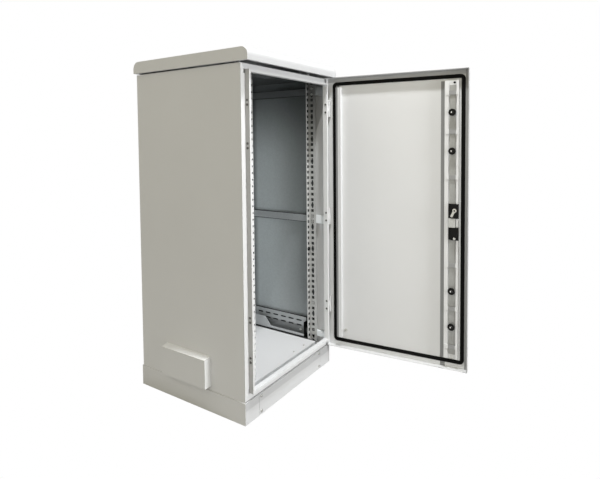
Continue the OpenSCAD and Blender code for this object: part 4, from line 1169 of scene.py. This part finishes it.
class CABINET_OT_stage(bpy.types.Operator):
    """Sets up floor, light and camera"""

    bl_idname = "cabinet.stage"
    bl_label = "Stage"

    FLOOR = 14.0
    FLOOR_DROP = 0.5 * MM
    FLOOR_TONES = ((0.40, 0.40, 0.40), (0.42, 0.42, 0.42))
    RIGHT_REAR = (0.6, 0.8, 0)
    SENSOR_MM = 36
    NEAR = 0.05

    # Each light: where it stands, what it is aimed at, its size, its spread, and if metal mirrors it
    LAMPS = {
        "high": ((-0.22, -0.95, 3.20), (0.10, -0.50, 0.60), (0.10, 0.16), math.pi, True),
        "fill": ((0.05, -3.40, 1.20), (0.0, -0.3, 0.6), (0.60, 1.60), math.pi, True),
        "side": ((-0.26, -0.70, 0.50), (0.30, -0.70, 0.50), (0.70, 1.00), math.radians(100), True),
        "inner": ((-0.245, 0.12, 0.55), (0.29, 0.12, 0.50), (0.22, 0.80), math.pi, False),
    }

    def execute(self, context):
        studio = context.scene.cabinet_studio
        context.scene.view_settings.view_transform = "Standard"
        self.floor()
        for name, lamp in self.LAMPS.items():
            self.lamp(name + " light", getattr(studio, name), *lamp)
        self.room(context.scene, studio)
        self.camera(context.scene, studio)
        return {"FINISHED"}

    def floor(self):
        """A large pale floor just under the plinth, which shows as white."""
        bm = bmesh.new()
        bmesh.ops.create_grid(bm, x_segments=4, y_segments=4, size=self.FLOOR / 2)
        mesh = mesh_from(bm, "floor")
        obj = bpy.data.objects.new("floor", mesh)
        obj.location.z = -self.FLOOR_DROP
        bpy.context.scene.collection.objects.link(obj)
        finish = Finish("pale floor")
        grain = finish.noise(scale=3, detail=2)
        base = finish.mix(*self.FLOOR_TONES, grain)
        dress(obj, finish.surface(Base_Color=base, Roughness=0.9, Specular_IOR_Level=0.1))
        finish.seen_as_white(finish.shader.outputs[0])

    def lamp(self, name, watts, at, to, size, spread, glossy):
        """An area light that is aimed at a point and that the camera doesn't see."""
        lamp = bpy.data.lights.new(name, "AREA")
        lamp.shape = "RECTANGLE"
        lamp.size, lamp.size_y = size
        lamp.energy = watts
        lamp.spread = spread
        obj = bpy.data.objects.new(name, lamp)
        obj.visible_camera = False
        obj.visible_glossy = glossy
        obj.location = at
        obj.rotation_euler = (Vector(to) - Vector(at)).to_track_quat("-Z", "Y").to_euler()
        bpy.context.scene.collection.objects.link(obj)

    def room(self, scene, studio):
        """Even light from all round, warmer from the left, in front of a white backdrop."""
        scene.world = bpy.data.worlds.new("studio")
        scene.world.use_nodes = True
        finish = Finish(tree=scene.world.node_tree)
        towards = finish.add("ShaderNodeTexCoord", output="Generated")
        left = finish.most(finish.dot(towards, LEFTWARD), 0.0)
        right = finish.most(finish.dot(towards, self.RIGHT_REAR), 0.0)
        light = finish.mix((studio.ambient,) * 3, tone(studio.left_tint, studio.left), left)
        light = finish.mix(light, (studio.right,) * 3, right)
        even = finish.add("ShaderNodeBackground", inputs={"Color": light})
        finish.seen_as_white(even.socket)

    def camera(self, scene, studio):
        """A camera that stands and looks as the photograph's did."""
        data = bpy.data.cameras.new("camera")
        data.lens = studio.lens
        data.sensor_width = self.SENSOR_MM
        data.shift_x = studio.shift_x
        data.shift_y = studio.shift_y
        data.clip_start = self.NEAR
        flat = math.cos(studio.pitch)
        ahead = Vector((math.sin(studio.yaw) * flat, math.cos(studio.yaw) * flat, -math.sin(studio.pitch)))
        right = Vector((math.cos(studio.yaw), -math.sin(studio.yaw), 0))
        up = right.cross(ahead)
        across = math.cos(studio.roll) * right + math.sin(studio.roll) * up
        upward = -math.sin(studio.roll) * right + math.cos(studio.roll) * up
        turn = Matrix((across, upward, -ahead)).transposed().to_4x4()
        obj = bpy.data.objects.new("camera", data)
        obj.matrix_world = Matrix.Translation(Vector(studio.camera_at)) @ turn
        scene.collection.objects.link(obj)
        scene.camera = obj


STEPS = (
    CABINET_OT_painted_sheets,
    CABINET_OT_zinc_metalwork,
    CABINET_OT_lock_and_plastics,
    CABINET_OT_fasteners,
    CABINET_OT_door_seal,
    CABINET_OT_lock_trim,
    CABINET_OT_filter_mat,
    CABINET_OT_stage,
)


GROUPS = {
    "cabinet_finishes": CabinetFinishes,
    "cabinet_sizes": CabinetSizes,
    "cabinet_studio": CabinetStudio,
}


class CABINET_PT_dressing(bpy.types.Panel):
    """Lists the steps that dress the cabinet and the values they use."""

    bl_idname = "CABINET_PT_dressing"
    bl_label = "Cabinet"
    bl_space_type = "VIEW_3D"
    bl_region_type = "UI"
    bl_category = "Cabinet"

    def draw(self, context):
        for step in STEPS:
            self.layout.operator(step.bl_idname)
        for group_name in GROUPS:
            group = getattr(context.scene, group_name)
            for name in group.__annotations__:
                self.layout.prop(group, name)


def register():
    """Makes the add-on's values and steps known to Blender."""
    for name, group in GROUPS.items():
        bpy.utils.register_class(group)
        setattr(bpy.types.Scene, name, bpy.props.PointerProperty(type=group))
    for cls in (*STEPS, CABINET_PT_dressing):
        bpy.utils.register_class(cls)


def unregister():
    """Takes the add-on's values and steps away again."""
    for cls in (CABINET_PT_dressing, *reversed(STEPS)):
        bpy.utils.unregister_class(cls)
    for name, group in GROUPS.items():
        delattr(bpy.types.Scene, name)
        bpy.utils.unregister_class(group)


def main():
    """Runs all the steps."""
    register()
    for step in STEPS:
        group, name = step.bl_idname.split(".")
        getattr(getattr(bpy.ops, group), name)()


if __name__ == "__main__":
    main()
